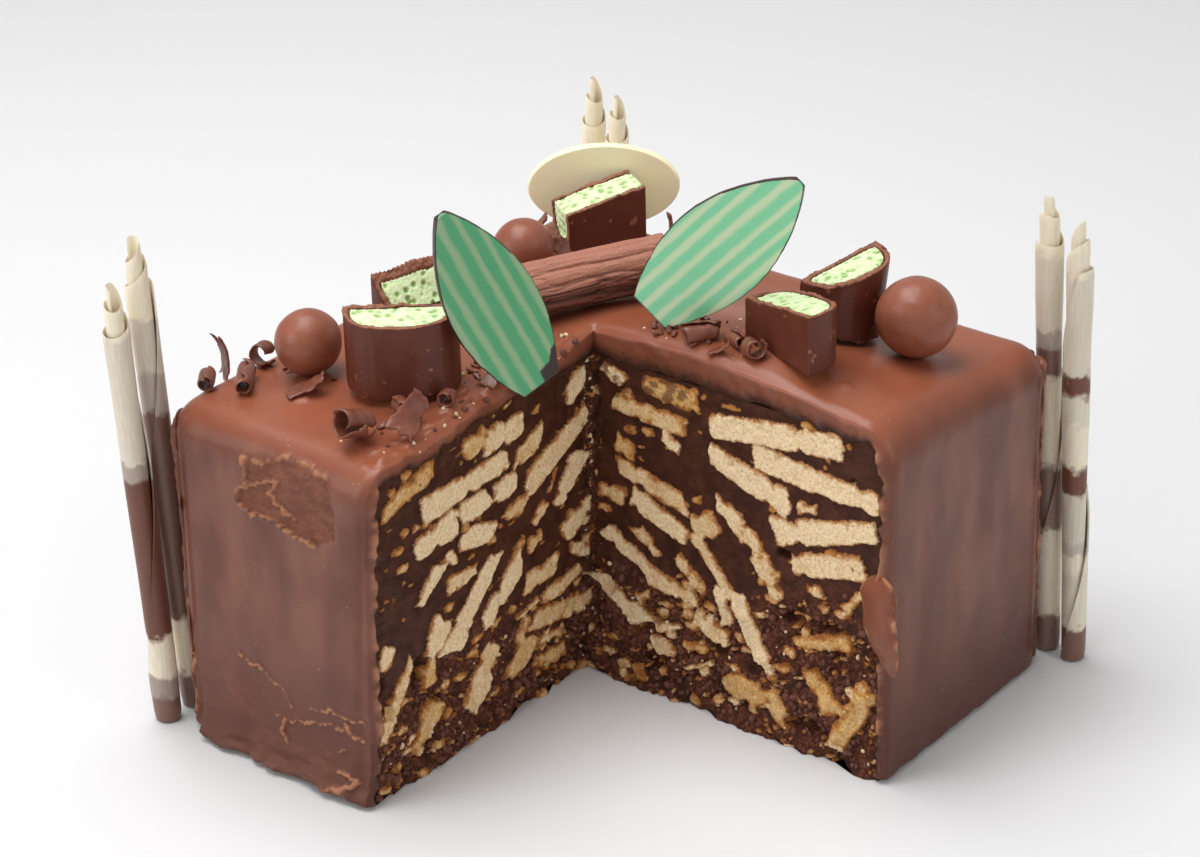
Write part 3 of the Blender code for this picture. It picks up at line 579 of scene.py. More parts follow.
def mix_finish():
    """Dark chocolate with biscuits: the edge between them is where the inside distance crosses zero."""
    made = Finish("pressed_mix", (0.04, 0.016, 0.011), 0.5, {"Specular IOR Level": 0.16})
    calc, eased, mixed = made.calc, made.eased, made.mixed
    inside, toast, torn, smear, crust = made.fields("biscuit", "toast", "torn", "smear", "crust")

    def noise(size, detail=3.0):
        return made.noise(size, detail, 0.55)

    speck, fine, middle, coarse = noise(0.45, 2.0), noise(0.9), noise(2.2), noise(4.0)
    edge = calc("ADD", inside, calc("MULTIPLY", calc("SUBTRACT", fine, 0.5), 1.2))
    biscuit = eased(edge, -0.15, 0.20)
    shaved = mixed(eased(coarse, 0.35, 0.7), (0.046, 0.0142, 0.0078), (0.080, 0.0255, 0.0138))
    rough = mixed(eased(fine, 0.35, 0.68), (0.062, 0.0180, 0.0100), (0.170, 0.055, 0.030))
    rough = mixed(eased(coarse, 0.56, 0.34), rough, (0.046, 0.0160, 0.0098))
    chocolate = mixed(torn, shaved, rough)
    cream = mixed(eased(fine, 0.25, 0.75), (0.80, 0.56, 0.315), (0.97, 0.80, 0.535))
    golden = mixed(eased(fine, 0.25, 0.75), (0.50, 0.255, 0.072), (0.76, 0.465, 0.170))
    toasted = calc("ADD", toast, calc("MULTIPLY", calc("SUBTRACT", coarse, 0.5), 0.9))
    baked = mixed(eased(toasted, 0.1, 1.0), cream, golden)
    # The two baked faces of a biscuit are brown, and melted chocolate soaked into them here and there.
    face = calc("SUBTRACT", crust, calc("MULTIPLY", eased(middle, 0.36, 0.70), 1.1))
    baked = mixed(eased(face, 1.0, -0.3, 0.70), baked, (0.46, 0.185, 0.042))
    soaked = calc("ADD", eased(coarse, 0.46, 0.72, 1.6), calc("MULTIPLY", toast, 1.6))
    stain = calc("SUBTRACT", edge, soaked)
    baked = mixed(eased(stain, 0.3, -1.3, 0.85), baked, (0.44, 0.160, 0.034))
    baked = mixed(eased(stain, -0.9, -2.6), baked, (0.150, 0.053, 0.021))
    baked = mixed(eased(edge, 0.75, 0.05, 0.75), baked, (0.32, 0.120, 0.032))
    baked = mixed(eased(speck, 0.38, 0.29, 0.75), baked, (0.24, 0.110, 0.040))
    dragged = calc("ADD", noise(3.2, 4.0), calc("MULTIPLY", smear, 0.22))
    baked = mixed(eased(dragged, 0.64, 0.76, 0.8), baked, (0.15, 0.055, 0.024))
    dust = calc("MULTIPLY", eased(noise(0.6, 2.0), 0.655, 0.70), calc("ADD", torn, 0.10))
    dust = calc("MULTIPLY", dust, calc("ADD", eased(inside, -2.6, -0.2, 0.35), 0.10))
    chocolate = mixed(dust, chocolate, (0.60, 0.38, 0.19))
    made.feed("Base Color", mixed(biscuit, chocolate, baked))
    dry = calc("MAXIMUM", biscuit, calc("MULTIPLY", torn, 0.75))
    made.feed("Roughness", made.ramp(dry, bottom=0.46, top=0.90))
    pits = calc("MULTIPLY", speck, calc("ADD", calc("MULTIPLY", dry, 0.8), 0.15))
    return made.bumped(calc("ADD", pits, calc("MULTIPLY", fine, 0.6)), 0.55, 0.45)


# The two middle points of the fans take the last value of each field.
mix_fields = {name: np.append(value, [value[-1, -1]] * 2) for name, value in mix_fields.items()}
make_piece("pressed_mix", mix_points, "biscuit_mix", mix_finish(), ["biscuit_mix"], mix_fields,
           [grid(ROWS, ring, around=True), under, over], sharp=75)


# Milk chocolate coat: poured warm over the set cake, so it is rounded at the edges, uneven on the
# sides and thick on top where it was heaped. It was scuffed on one end, and torn along the cuts.
FOOT = 1.6 * MM
END_COLUMNS = (110, 60, 60, 88, 14)
SIDE_ROWS, SHOULDER_ROWS, TOP_ROWS = 116, 12, 81
RIM_COLUMNS = 12
SKIP = 4
LIP, LIP_RISE = 3.0 * MM, 9.0 * MM
# Marks on the end that faces -Y, in millimetres across and up: the scuffed patch, then the torn
# ridges with their height and width.
PATCH = ((-56, 95.5), (-47.5, 97.5), (-39.5, 99.5), (-31.5, 99.5), (-26, 97), (-22.5, 91), (-22.5, 81.5),
         (-29, 77), (-36, 77), (-43.5, 79), (-53.5, 79), (-59.5, 81), (-59, 84), (-55, 87), (-54.5, 92))
RIDGES = (
    (((-56.5, 95), (-48.5, 95.5), (-44, 98.5), (-38.5, 99), (-30, 98.5), (-26, 97)), 0.9, 1.1),
    (((-59, 84), (-54, 87), (-43.5, 91), (-47, 86.5), (-42, 83), (-36.5, 81)), 0.9, 0.9),
    (((-56.5, 95), (-54.5, 90), (-55.5, 87)), 0.8, 0.9),
    (((-59.5, 81), (-53.5, 79), (-43.5, 79), (-39.5, 77.5), (-35, 76.5), (-29.5, 76.5)), 0.8, 0.8),
    (((-62.5, 32.5), (-59, 30.5), (-54, 31), (-50, 28), (-46, 26.5), (-44, 23.5), (-41.5, 21.5)), 0.7, 0.7),
    (((-49, 17), (-42.5, 17), (-34.5, 19.5), (-28, 21.5), (-21.5, 22)), 0.7, 0.7),
    (((-35, 24), (-28, 25.5), (-21, 26.5), (-13.5, 26.5)), 0.7, 0.7),
    (((-45.5, 17), (-46.5, 13), (-44.5, 11)), 1.0, 0.9),
    (((-21, 24), (-18.5, 21.5), (-14.5, 21.5)), 1.0, 0.8),
    (((-23.5, 9), (-20.5, 8.5), (-16, 7.5)), 0.9, 0.8),
    (((-27.5, 3), (-22.5, 3.5), (-16.5, 8)), 0.9, 1.0),
    (((-23.5, 13.5), (-22, 15.5), (-20, 16)), 0.7, 0.7),
    (((-87, 23.5), (-81.5, 23.5), (-85.5, 18)), 0.8, 0.8),
)


def line_distance(flat, line):
    """Distance from each point to a line through a few points."""
    best = np.full(flat.shape[:-1], 1e9)
    for start, end in zip(line[:-1], line[1:]):
        start, run = np.array(start, float), np.array(end, float) - np.array(start, float)
        part = np.clip(((flat - start) @ run) / (run @ run), 0.0, 1.0)
        best = np.minimum(best, np.hypot(*np.moveaxis(flat - start - part[..., None] * run, -1, 0)))
    return best


def within(flat, outline):
    """Signed distance to a closed outline, positive inside it, by counting the crossings of a ray."""
    inside = np.zeros(flat.shape[:-1], bool)
    for (ax, ay), (bx, by) in zip(outline, outline[1:] + outline[:1]):
        spans = (ay > flat[..., 1]) != (by > flat[..., 1])
        crossing = (bx - ax) * (flat[..., 1] - ay) / (by - ay + 1e-9) + ax
        inside ^= spans & (flat[..., 0] < crossing)
    away = line_distance(flat, outline + outline[:1])
    return np.where(inside, away, -away)


# Each row's inset from the side, height, slope and way along, from the foot over the shoulder inwards.
turn = np.linspace(0.0, math.pi / 2, SHOULDER_ROWS)[1:]
toward = np.linspace(0.0, 1.0, TOP_ROWS)[1:]
bend = EDGE_TOP - SHOULDER
side_up = np.linspace(FOOT, bend, SIDE_ROWS)
sunk = np.concatenate([np.zeros(SIDE_ROWS), SHOULDER * (1 - np.cos(turn))])
up = np.concatenate([side_up, bend + SHOULDER * np.sin(turn), np.full(len(toward), EDGE_TOP)])[:, None]
slope = np.concatenate([np.zeros(SIDE_ROWS), turn, np.full(len(toward), math.pi / 2)])
arc = np.concatenate([side_up, bend + SHOULDER * turn, bend + SHOULDER * math.pi / 2 + 80 * MM * toward])
arc, facing = arc[:, None] / MM, slope[:, None]
shell, side_normal = rounded_square(sunk, END_COLUMNS)
pole_x, pole_y = cut_edges(EDGE_TOP)
inner = shell[-1] * (1 - toward[:, None, None]) + np.array([pole_x, pole_y]) * toward[:, None, None]
plan = np.concatenate([shell, inner]) * (1 - DRAFT * up / EDGE_TOP)[..., None]
rows, columns = plan.shape[:2]
coat_x, coat_y = plan[..., 0], plan[..., 1]
height = up + (top_height(coat_x, coat_y) - EDGE_TOP) * (up / EDGE_TOP) ** 8
side_x, side_y = side_normal[None, :, 0], side_normal[None, :, 1]
normal = stacked(side_x * np.cos(facing), side_y * np.cos(facing), np.sin(facing))
coat = stacked(coat_x, coat_y, height)

# The toppings were pressed into the coat while it was soft, so it rises to meet each of them.
lift = np.zeros(coat_x.shape)
for node in sorted(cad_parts):
    low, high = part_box(node)
    if low.z > 80 * MM and node != "leaf_left":
        middle = (low + high) / 2
        spread = max(3.0 * MM, 0.30 * max(high.x - low.x, high.y - low.y))
        need = float(np.clip(low.z + 0.25 * MM - top_height(middle.x, middle.y), 0.0, 1.4 * MM))
        bell = np.exp(-(((coat_x - middle.x) ** 2 + (coat_y - middle.y) ** 2) / spread ** 2) ** 1.5)
        lift = np.maximum(lift, need * bell)
lift = lift * eased(80 * MM, 98 * MM, height)

# Slow swells all over, faint drips down the right side, and the scuffed patch and ridges on the end.
swell = 0.36 * value_noise(coat, 34 * MM, 5) + 0.17 * value_noise(coat, 15 * MM, 6)
swell = swell + 0.045 * layered_noise(coat, 6 * MM, 7, 2)
drips = value_noise(coat * np.array([1.0, 1.0, 0.22]), 7 * MM, 8)
swell = swell + 0.16 * drips * ((side_x > 0.9) & (facing < 0.2))
across = coat_x / MM
face = stacked(across, arc)
on_end = (side_y < -0.7) & (arc < 112.0)
ragged = face + 0.9 * stacked(layered_noise(face, 3.0, 90), layered_noise(face, 3.0, 93))
scuffed = eased(-0.5, 0.5, np.where(on_end, within(ragged, PATCH), -50.0))
slanted = face @ np.array([[0.9, 0.45], [-0.45, 0.9]])
scratch = layered_noise(slanted * np.array([0.25, 1.0]), 1.5, 95)
swell = swell - scuffed * (0.85 - 0.30 * scratch)
crest = np.zeros(across.shape)
for line, tall, wide in RIDGES:
    away = np.where(on_end, line_distance(ragged, line), 50.0)
    strength = 0.65 + 0.35 * value_noise(face, 1.6, 97)
    crest = np.maximum(crest, tall * strength * np.exp(-(away / (0.55 * wide)) ** 2))
swell = swell + 1.5 * crest
lower_band = np.where(on_end, eased(33.0, 27.0, arc + 3.0 * value_noise(face, 16.0, 99)), 0.0)
swell = swell - 0.45 * lower_band * eased(-64.0, -58.0, across)
BUBBLE_X, BUBBLE_Y, BUBBLE_REACH = 65 * MM, 17 * MM, 2.2 * MM
bubble = np.exp(-((coat_x - BUBBLE_X) ** 2 + (coat_y - BUBBLE_Y) ** 2) / BUBBLE_REACH ** 2)
swell = swell + 0.8 * bubble * (facing > 1.0)
near_left = np.clip((pole_x - coat_x) / MM, 0, None)
on_top = eased(1.0, 1.5, facing)
messy = eased(16.0, 3.0, near_left) * (coat_y < 0) * on_top
mess = 0.95 * layered_noise(coat, 6 * MM, 101) + 0.35 * layered_noise(coat, 2.5 * MM, 104)
swell = swell + messy * mess
# The knife rounded the coat over along both cuts.
cut_x, cut_y = cut_edges(height)
to_cut = np.hypot(np.maximum(cut_x - coat_x, 0.0), np.maximum(coat_y - cut_y, 0.0)) / MM
rounding = (0.9 + 0.6 * np.sin(facing)) * np.clip(1.0 - to_cut / 3.2, 0.0, 1.0) ** 2
swell = swell - rounding * (0.8 + 0.35 * value_noise(coat, 6 * MM, 102))
coat = coat + normal * (swell * MM)[..., None]
coat[..., 2] += lift
lip = LIP * np.exp(-(coat[..., 2] / LIP_RISE) ** 2) * (side_y < -0.99)
lip = lip * (0.85 + 0.3 * value_noise(face * np.array([0.3, 1.0]), 1.6, 103))
coat[..., 1] -= lip * 0.95
# Along the foot of that end it was pushed up into a thin roll.
roll_height = 2.9 + 0.9 * value_noise(face * np.array([1.0, 0.0]), 9.0, 106)
roll = np.exp(-((arc - roll_height) / 1.35) ** 2) * (side_y < -0.7)
roll = roll * (0.75 + 0.45 * layered_noise(face * np.array([1.0, 0.2]), 3.5, 107))
coat[..., 1] -= roll * 1.7 * MM
crest = np.maximum(crest, 0.17 * roll)
foot_rag = eased(7.0, 0.0, coat[..., 2] / MM) * 0.9 * value_noise(coat, 2.5 * MM, 105)
coat[..., 2] += np.where(coat[..., 2] < 7 * MM, foot_rag * 0.8 * MM, 0.0)
coat[..., 2] = np.maximum(coat[..., 2], 0.4 * MM)
coat[..., 0], coat[..., 1] = brought_to_cuts(coat[..., 0], coat[..., 1], coat[..., 2], END_COLUMNS[0],
                                             END_COLUMNS[3])

# The cut edge of the coat is a band that was dragged over the mix by the knife: it bulges out of the
# cut, thins to a ragged edge, and turns back behind the face.
down = stacked(0.0, np.cos(slope), -np.sin(slope))
inward = stacked(-np.cos(slope), 0.0, -np.sin(slope))
near_pole = eased(0.0, 0.04, 1.0 - np.concatenate([np.zeros(rows - len(toward)), toward]))[:, None]
upright = eased(0.95, 0.55, np.sin(facing))
part = np.linspace(0.0, 1.0, RIM_COLUMNS)[1:]
bulge = 0.75 * np.sin(np.pi * np.clip(part, 0, 0.97)) ** 0.4 - 0.2
bulge[-1] = -1.3
rims, fringes = [], []
for edge, run, out, seed in ((coat[:, 0], down, (1.0, 0.0, 0.0), 111),
                             (coat[:, -1], inward, (0.0, -1.0, 0.0), 121)):
    below = edge[:, 2] - mix_height(edge[:, 0], edge[:, 1])
    band = COAT + np.sin(slope) ** 2 * np.maximum(below - COAT, 0.0)
    band = band[:, None] + (layered_noise(edge, 3.5 * MM, seed)[:, None] + 0.9) * MM * near_pole
    strip = edge[:, None] + run[:, None] * (band * part)[..., None]
    rough = layered_noise(strip, 2.2 * MM, seed + 7)
    torn_lip = np.clip(0.60 + 0.9 * layered_noise(edge, 6.0 * MM, seed + 9), 0.0, 1.6)[:, None] * upright
    push = bulge + 0.28 * rough * (bulge > 0) + torn_lip * 1.9 * np.exp(-((part - 0.50) / 0.25) ** 2)
    rims.append(strip + np.array(out) * (push * near_pole * MM)[..., None])
    fringe = np.clip(0.30 * torn_lip + 0.30 * rough * (0.3 + 0.7 * upright), 0.0, 0.45)
    fringes.append(fringe * np.exp(-((part - 0.55) / 0.35) ** 2))
left_rim, right_rim = rims
# The lining behind the coat has every SKIP-th of its rows and columns.
inset = COAT + np.maximum(0.0, height - COAT - mix_height(coat_x, coat_y)) * np.sin(facing) ** 2
lining = (coat - normal * inset[..., None])[::SKIP, ::SKIP]
lining[:, 0] = left_rim[::SKIP, -1] - np.array([0.5 * MM, 0.0, 0.0]) * near_pole[::SKIP]
lining[:, -1] = right_rim[::SKIP, -1] + np.array([0.0, 0.5 * MM, 0.0]) * near_pole[::SKIP]
lining[-1] = left_rim[-1, -1]

outer = np.concatenate([left_rim[:, ::-1], coat, right_rim], 1)
wide = outer.shape[1]
deep_rows, deep_columns = lining.shape[:2]
shift = rows * wide
faces = [grid(rows, wide), grid(deep_rows, deep_columns, start=shift)[:, ::-1]]


def sewn(fine, coarse, flip):
    """Triangles between a fine edge and a coarse one that has every SKIP-th of its points."""
    step = np.arange(len(fine) - 1)
    fans = np.stack([fine[step], fine[step + 1], coarse[step // SKIP]], -1)
    block = np.arange(len(coarse) - 1)
    joins = np.stack([fine[(block + 1) * SKIP], coarse[block + 1], coarse[block]], -1)
    both = np.concatenate([fans, joins])
    return both[:, ::-1] if flip else both


line, deep = np.arange(rows) * wide, shift + np.arange(deep_rows) * deep_columns
faces.append(sewn(line, deep, False))
faces.append(sewn(line + wide - 1, deep + deep_columns - 1, True))
faces.append(sewn(np.arange(columns) + RIM_COLUMNS - 1, shift + np.arange(deep_columns), True))
for start, corner in ((0, shift), (wide - RIM_COLUMNS, shift + deep_columns - 1)):
    step = start + np.arange(RIM_COLUMNS - 1)
    faces.append(stacked(corner, step + 1, step))
margin = np.zeros((rows, RIM_COLUMNS - 1))
thinning = margin + part ** 1.3
# Painted light: the level field, how flat the coat lies, mixes a lit top tone over the shaded side tones in
# the finish; the torn rims take 0.4 of it.
flatness = np.sin(facing) ** 2
scuff = np.maximum(scuffed, 0.30 * lower_band * (1 + 0.8 * value_noise(face, 9.0, 98)))
coat_fields = {"scuff": (margin, scuff, margin), "crest": (fringes[0][:, ::-1], crest, fringes[1]),
               "band": (thinning[:, ::-1], 0 * across, thinning),
               "level": (margin + 0.4 * flatness, 0 * across + flatness, margin + 0.4 * flatness)}
coat_fields = {name: np.append(np.concatenate(parts, 1), np.zeros(deep_rows * deep_columns))
               for name, parts in coat_fields.items()}


def coat_finish():
    """Satin milk chocolate: dull where scuffed, lighter on the torn crests, with painted light: a lighter
    top, painted sheen patches on the sides and painted shade toward the foot.
    """
    made = Finish("milk_chocolate", (0.23, 0.085, 0.05), 0.3, {"Specular IOR Level": 0.32})
    noise, calc, eased, mixed = made.noise, made.calc, made.eased, made.mixed
    scuff, crest, band, level = made.fields("scuff", "crest", "band", "level")
    # Painted sheen: cloudy patches, drawn out up the sides, stand in for the uneven sheen of the satin.
    painted_sheen = noise(12, 2.0, place=made.stretched((1.0, 1.0, 0.45)))
    side = mixed(eased(painted_sheen, 0.3, 0.7), (0.127, 0.039, 0.023), (0.208, 0.074, 0.045))
    height = made.node("SeparateXYZ", {0: made.place}).outputs["Z"]
    # Painted shade: the sides are darkened toward the foot.
    side = mixed(eased(height, 56 * MM, 4 * MM, 0.90), side, (0.092, 0.026, 0.015))
    # Painted light: the top's lighter, warmer tones and the darker side tones are lit and shaded copies of
    # one chocolate, mixed by the level field.
    top = mixed(eased(noise(22), 0.3, 0.7), (0.262, 0.074, 0.036), (0.310, 0.094, 0.048))
    tone = mixed(level, side, top)
    ragged = calc("MULTIPLY_ADD", noise(1.6), 0.5, band)
    tone = mixed(eased(ragged, 0.45, 1.10), tone, (0.042, 0.0150, 0.0092))
    stroke = noise(1.8, 4.0, place=made.stretched((0.5, 1, 1), (0, 0.5, 0)))
    scraped = mixed(eased(stroke, 0.34, 0.66), (0.175, 0.060, 0.036), (0.240, 0.088, 0.052))
    tone = mixed(scuff, tone, scraped)
    tone = mixed(eased(crest, 0.05, 0.50), tone, (0.43, 0.185, 0.095))
    tone = mixed(eased(noise(0.9, 1.0), 0.77, 0.80, 0.6), tone, (0.50, 0.36, 0.25))
    made.feed("Base Color", tone)
    dull = calc("MAXIMUM", scuff, crest)
    sheen = eased(noise(13), 0.35, 0.65, 0.10)
    made.feed("Roughness", made.ramp(calc("ADD", dull, sheen), bottom=0.29, top=0.75))
    marks = calc("MULTIPLY", calc("MULTIPLY_ADD", stroke, 1.2, noise(1.2)), dull)
    return made.bumped(calc("MULTIPLY_ADD", noise(0.35, 2.0), marks, marks), 0.70, 0.55)


milk_chocolate = coat_finish()
make_piece("poured_coat", np.concatenate([outer.reshape(-1, 3), lining.reshape(-1, 3)]), "milk_chocolate",
           milk_chocolate, ["milk_chocolate_coat"], coat_fields, faces)


# Torn flap: a tongue of the coat that the knife pulled loose at the end of the right cut. It hangs
# out of the cut by its upper end, thick in the middle and rolled over at its sides.
FLAP_TOP, FLAP_FOOT = (84.0, 5.0, 64.0), (92.0, 2.2, 36.0)
FLAP_WIDTH, FLAP_THICKNESS = 15.0, 5.0
FLAP_ROWS, FLAP_COLUMNS = 70, 60
side_way, out_way = np.array([0.90, -0.25, 0.36]), np.array([0.15, -0.98, 0.08])


def once_round(count):
    """Even angles once round, as one row."""
    return np.linspace(0.0, 2 * math.pi, count, endpoint=False)[None, :]


def coat_values(crest, level):
    """What the coat's finish reads on a loose bit of it: where it is rubbed, and how level it lies, which
    sets its share of the painted light on the top.
    """
    return {"scuff": 0 * crest, "crest": crest, "band": 0 * crest, "level": 0 * crest + level}


# Round the tongue, each row is an ellipse that is soon wide at the top and narrows to the tip.
fallen = np.linspace(0.0, 1.0, FLAP_ROWS)[:, None]
swing = once_round(FLAP_COLUMNS)
breadth = np.clip(fallen / 0.13, 0.0, 1.0) ** 0.5 * (1 - fallen ** 2.6) ** 0.75
middle_line = np.array(FLAP_TOP) * (1 - fallen[..., None]) + np.array(FLAP_FOOT) * fallen[..., None]
sideways = FLAP_WIDTH / 2 * breadth * np.cos(swing)
outward = FLAP_THICKNESS / 2 * breadth * np.sin(swing) + 2.6 * np.sin(math.pi * fallen)
outward = outward - 1.2 * np.cos(swing) ** 2 * breadth
flap = middle_line + sideways[..., None] * side_way + outward[..., None] * out_way
rolled_side = 1.6 * np.abs(np.cos(swing)) ** 3 * breadth
rolled_side = rolled_side * (0.7 + 0.8 * value_noise(fallen * 9.0, 1.0, 142)[:, None])
flap = flap + (0.5 * value_noise(flap, 5.0, 140) + rolled_side)[..., None] * out_way
rubbed = np.clip(np.abs(np.cos(swing)) ** 6 * (0.35 + value_noise(flap, 3.0, 141)), 0.0, 0.6)
make_piece("coat_flap", flap * MM, "milk_chocolate", milk_chocolate, (), coat_values(rubbed, 0.35))


# Crumbs: bits of biscuit and of torn chocolate that stuck to the lower cuts, to the seam between them
# and to the coat round the shavings.
LUMP_ROWS, LUMP_COLUMNS = 6, 8
# How many crumbs lie on the left cut, the right cut and the top, and in the seam between the cuts.
BISCUIT_CRUMBS = 40, 60, 36, 40
CHOCOLATE_CRUMBS = 260, 420, 60


def unit_ball(rows, columns):
    """Points of a ball of radius 1: rows from pole to pole, columns round."""
    north = np.linspace(-math.pi / 2, math.pi / 2, rows)[:, None]
    east = once_round(columns)
    return stacked(np.cos(north) * np.cos(east), np.cos(north) * np.sin(east), np.sin(north))


def lumps(places, sizes, seed):
    """Many small uneven balls, kept above the ground: the radius of each varies by noise."""
    ball = unit_ball(LUMP_ROWS, LUMP_COLUMNS)
    own = ball + 10.0 * np.arange(len(places))[:, None, None, None]
    radius = sizes[:, None, None] * (1.0 + 0.38 * value_noise(own, 0.8, seed))
    squash = value_noise(np.arange(3 * len(places))[:, None] * 7.3, 1.0, seed + 1).reshape(-1, 1, 1, 3)
    heap = places[:, None, None] + ball * (1.0 + 0.35 * squash) * radius[..., None]
    heap[..., 2] = np.maximum(heap[..., 2], 0.2 * MM)
    return heap


def plain_finish(name, colour, roughness, mottle, size, relief, uniform=None):
    """Chocolate in one tone, mottled by noise of one size, with a fine grain in its skin."""
    made = Finish(name, colour, roughness, uniform)
    made.feed("Base Color", made.mixed(made.ramp(made.noise(size), 0.3, 0.7), colour, mottle))
    return made.bumped(made.noise(0.45), relief, 0.2)


draw = np.random.default_rng(77)


def pick(surface, weight, count):
    """Points of a surface, drawn at random by weight."""
    weight = np.clip(weight, 0.0, None).ravel()
    return surface.reshape(-1, 3)[draw.choice(weight.size, count, replace=False, p=weight / weight.sum())]


left_surface, right_surface = stacked(left_x, left_y, left_z), stacked(right_x, right_y, right_z)
left_low = left_torn * eased(62.0, 12.0, left_z / MM) * (left_z > 1.6 * MM)
right_low = right_torn * eased(66.0, 14.0, right_z / MM) * (right_z > 1.6 * MM)
by_left = 0.25 * eased(34.0, 8.0, near_left) * (coat_y < 0) * on_top
by_right = 0.5 * eased(26.0, 8.0, np.hypot(coat_x / MM - 22, coat_y / MM - 14)) * (coat_x > pole_x) * on_top
top_marks = messy + by_left + by_right
seam = left_torn * (inner_y - left_y < 3 * MM)
spots = zip((left_surface, right_surface, coat, left_surface), (left_low, right_low, top_marks, seam),
            BISCUIT_CRUMBS)
places = np.concatenate([pick(*spot) for spot in spots])
sizes = draw.uniform(0.16, 0.62, len(places)) ** 1.3 * MM * 1.35
make_piece("biscuit_crumbs", lumps(places, sizes, 150), "biscuit_mix",
           plain_finish("crumb_biscuit", (0.66, 0.49, 0.28), 0.85, (0.80, 0.64, 0.42), 2, 0.6),
           weld=1e-7)
left_low, right_low = left_low * (left_inside < -0.6), right_low * (right_inside < -0.6)
spots = zip((left_surface, right_surface, coat), (left_low, right_low, top_marks), CHOCOLATE_CRUMBS)
places = np.concatenate([pick(*spot) for spot in spots])
sizes = draw.uniform(0.2, 0.85, len(places)) ** 1.2 * MM * 1.3
make_piece("chocolate_crumbs", lumps(places, sizes, 160), "biscuit_mix",
           plain_finish("crumb_chocolate", (0.105, 0.034, 0.020), 0.75, (0.170, 0.057, 0.034), 2, 0.6),
           weld=1e-7)


# Smears: the soft coat squeezed out in a ragged line where each rolled stick was pressed on to it.
# Each stick is given by its foot and tip in x and y, its height, its wrap's turns and where it starts.
STICK_OUT = 94.5
STICKS = {
    "left_front": ((-STICK_OUT, -88.5), (-93.5, -STICK_OUT), 137.0, 0.9, 200),
    "left_rear": ((-STICK_OUT, -78.5), (-STICK_OUT, -85.0), 147.0, 1.1, 60),
    "right_front": ((STICK_OUT, 93.5), (89.5, 93.5), 136.0, 1.3, 330),
    "right_rear": ((85.5, STICK_OUT), (79.5, STICK_OUT), 141.0, 1.2, 250),
    "back_left": ((-88.0, STICK_OUT), (-81.0, STICK_OUT), 141.0, 1.0, 100),
    "back_right": ((-78.0, STICK_OUT), (-71.8, 94.1), 137.0, 1.2, 20),
}
SMEAR_TOP, SMEAR_WIDTH, SMEAR_THICKNESS = 97.0, 6.4, 2.6
SMEAR_ROWS, SMEAR_COLUMNS = 150, 28


def smear(foot, tip, height, seed):
    """Coat that squeezed out between a stick and the cake: a flattened tube up the line of contact.

    At each height the stick's middle is brought to the nearest point of the rounded square, and the
    tube's width and thickness there go with noise of the height.
    """
    z = np.linspace(1.5, SMEAR_TOP, SMEAR_ROWS)[:, None]
    part = z / height
    middle = np.array(foot) * (1 - part) + np.array(tip) * part
    reach = (SIDE / 2 - CORNER) / MM
    core = np.clip(middle, -reach, reach)
    toward = (middle - core) / np.linalg.norm(middle - core, axis=1, keepdims=True)
    surface = core * (1 - DRAFT * z * MM / EDGE_TOP) + toward * (CORNER / MM - 0.2)
    swing = once_round(SMEAR_COLUMNS)
    ends = np.clip(np.minimum(z - z[0], z[-1] - z) / 1.5, 0.0, 1.0) ** 0.5
    rag = stacked(z, np.cos(swing) * 1.5)
    broad = SMEAR_WIDTH / 2 * (0.78 + 0.55 * layered_noise(rag, 6.0, seed)) + 1.4 * np.exp(-z / 5.0)
    deep = SMEAR_THICKNESS / 2 * (0.85 + 0.45 * layered_noise(rag, 4.0, seed + 5))
    side = stacked(-toward[:, 1], toward[:, 0])
    flat = surface[:, None] + side[:, None] * (ends * broad * np.cos(swing))[..., None]
    flat = flat + toward[:, None] * (ends * deep * np.sin(swing))[..., None]
    return stacked(flat[..., 0], flat[..., 1], z) * MM


smears = np.stack([smear(*stick[:3], 170 + 7 * k) for k, stick in enumerate(STICKS.values())])
rubbed = 0.45 * np.clip(value_noise(smears, 2.5 * MM, 190) + 0.1, 0.0, 1.0)
make_piece("stick_smears", smears, "milk_chocolate", milk_chocolate, (), coat_values(rubbed, 0.1))


# Rolled sticks, two at each corner but the cut one: a thin sheet of white chocolate with bands of
# milk chocolate, scraped up into a tight scroll. The wrap runs round the stick like a screw, and the
# layers end one below the other at the tip.
STICK_RADIUS, STICK_SHEET, STICK_TURNS = 4.2 * MM, 0.62 * MM, 2.35
SCROLL_ROWS, SCROLL_POINTS = 76, 96
# Bands by the height of their upper end, in millimetres, with their tone: 0 is milk chocolate, 1 is
# cream, and between them the two are smeared into grey.
STICK_BANDS = {
    "left_front": ((9, 0.05), (15, 0.25), (29, 0.95), (79, 0.0), (84, 0.3), (123, 0.72), (160, 1.0)),
    "left_rear": ((12, 0.1), (30, 0.9), (96, 0.05), (108, 0.35), (124, 0.6), (160, 1.0)),
    "right_front": ((11, 0.05), (24, 0.80), (29, 0.7), (34, 0.9), (38, 0.45), (54, 0.62), (62, 0.0),
                    (76, 0.95), (85, 0.75), (91, 0.0), (121, 0.70), (160, 0.95)),
    "right_rear": ((12, 0.1), (40, 0.8), (60, 0.1), (88, 0.85), (97, 0.05), (101, 0.35), (125, 0.75),
                   (160, 1.0)),
    "back_left": ((15, 0.1), (60, 0.9), (80, 0.2), (160, 1.0)),
    "back_right": ((20, 0.1), (70, 0.9), (90, 0.2), (160, 1.0)),
}
BANDS_TOP = 160.0
MILK, GREY, CREAM = (0.170, 0.062, 0.038), (0.63, 0.57, 0.49), (0.96, 0.88, 0.69)


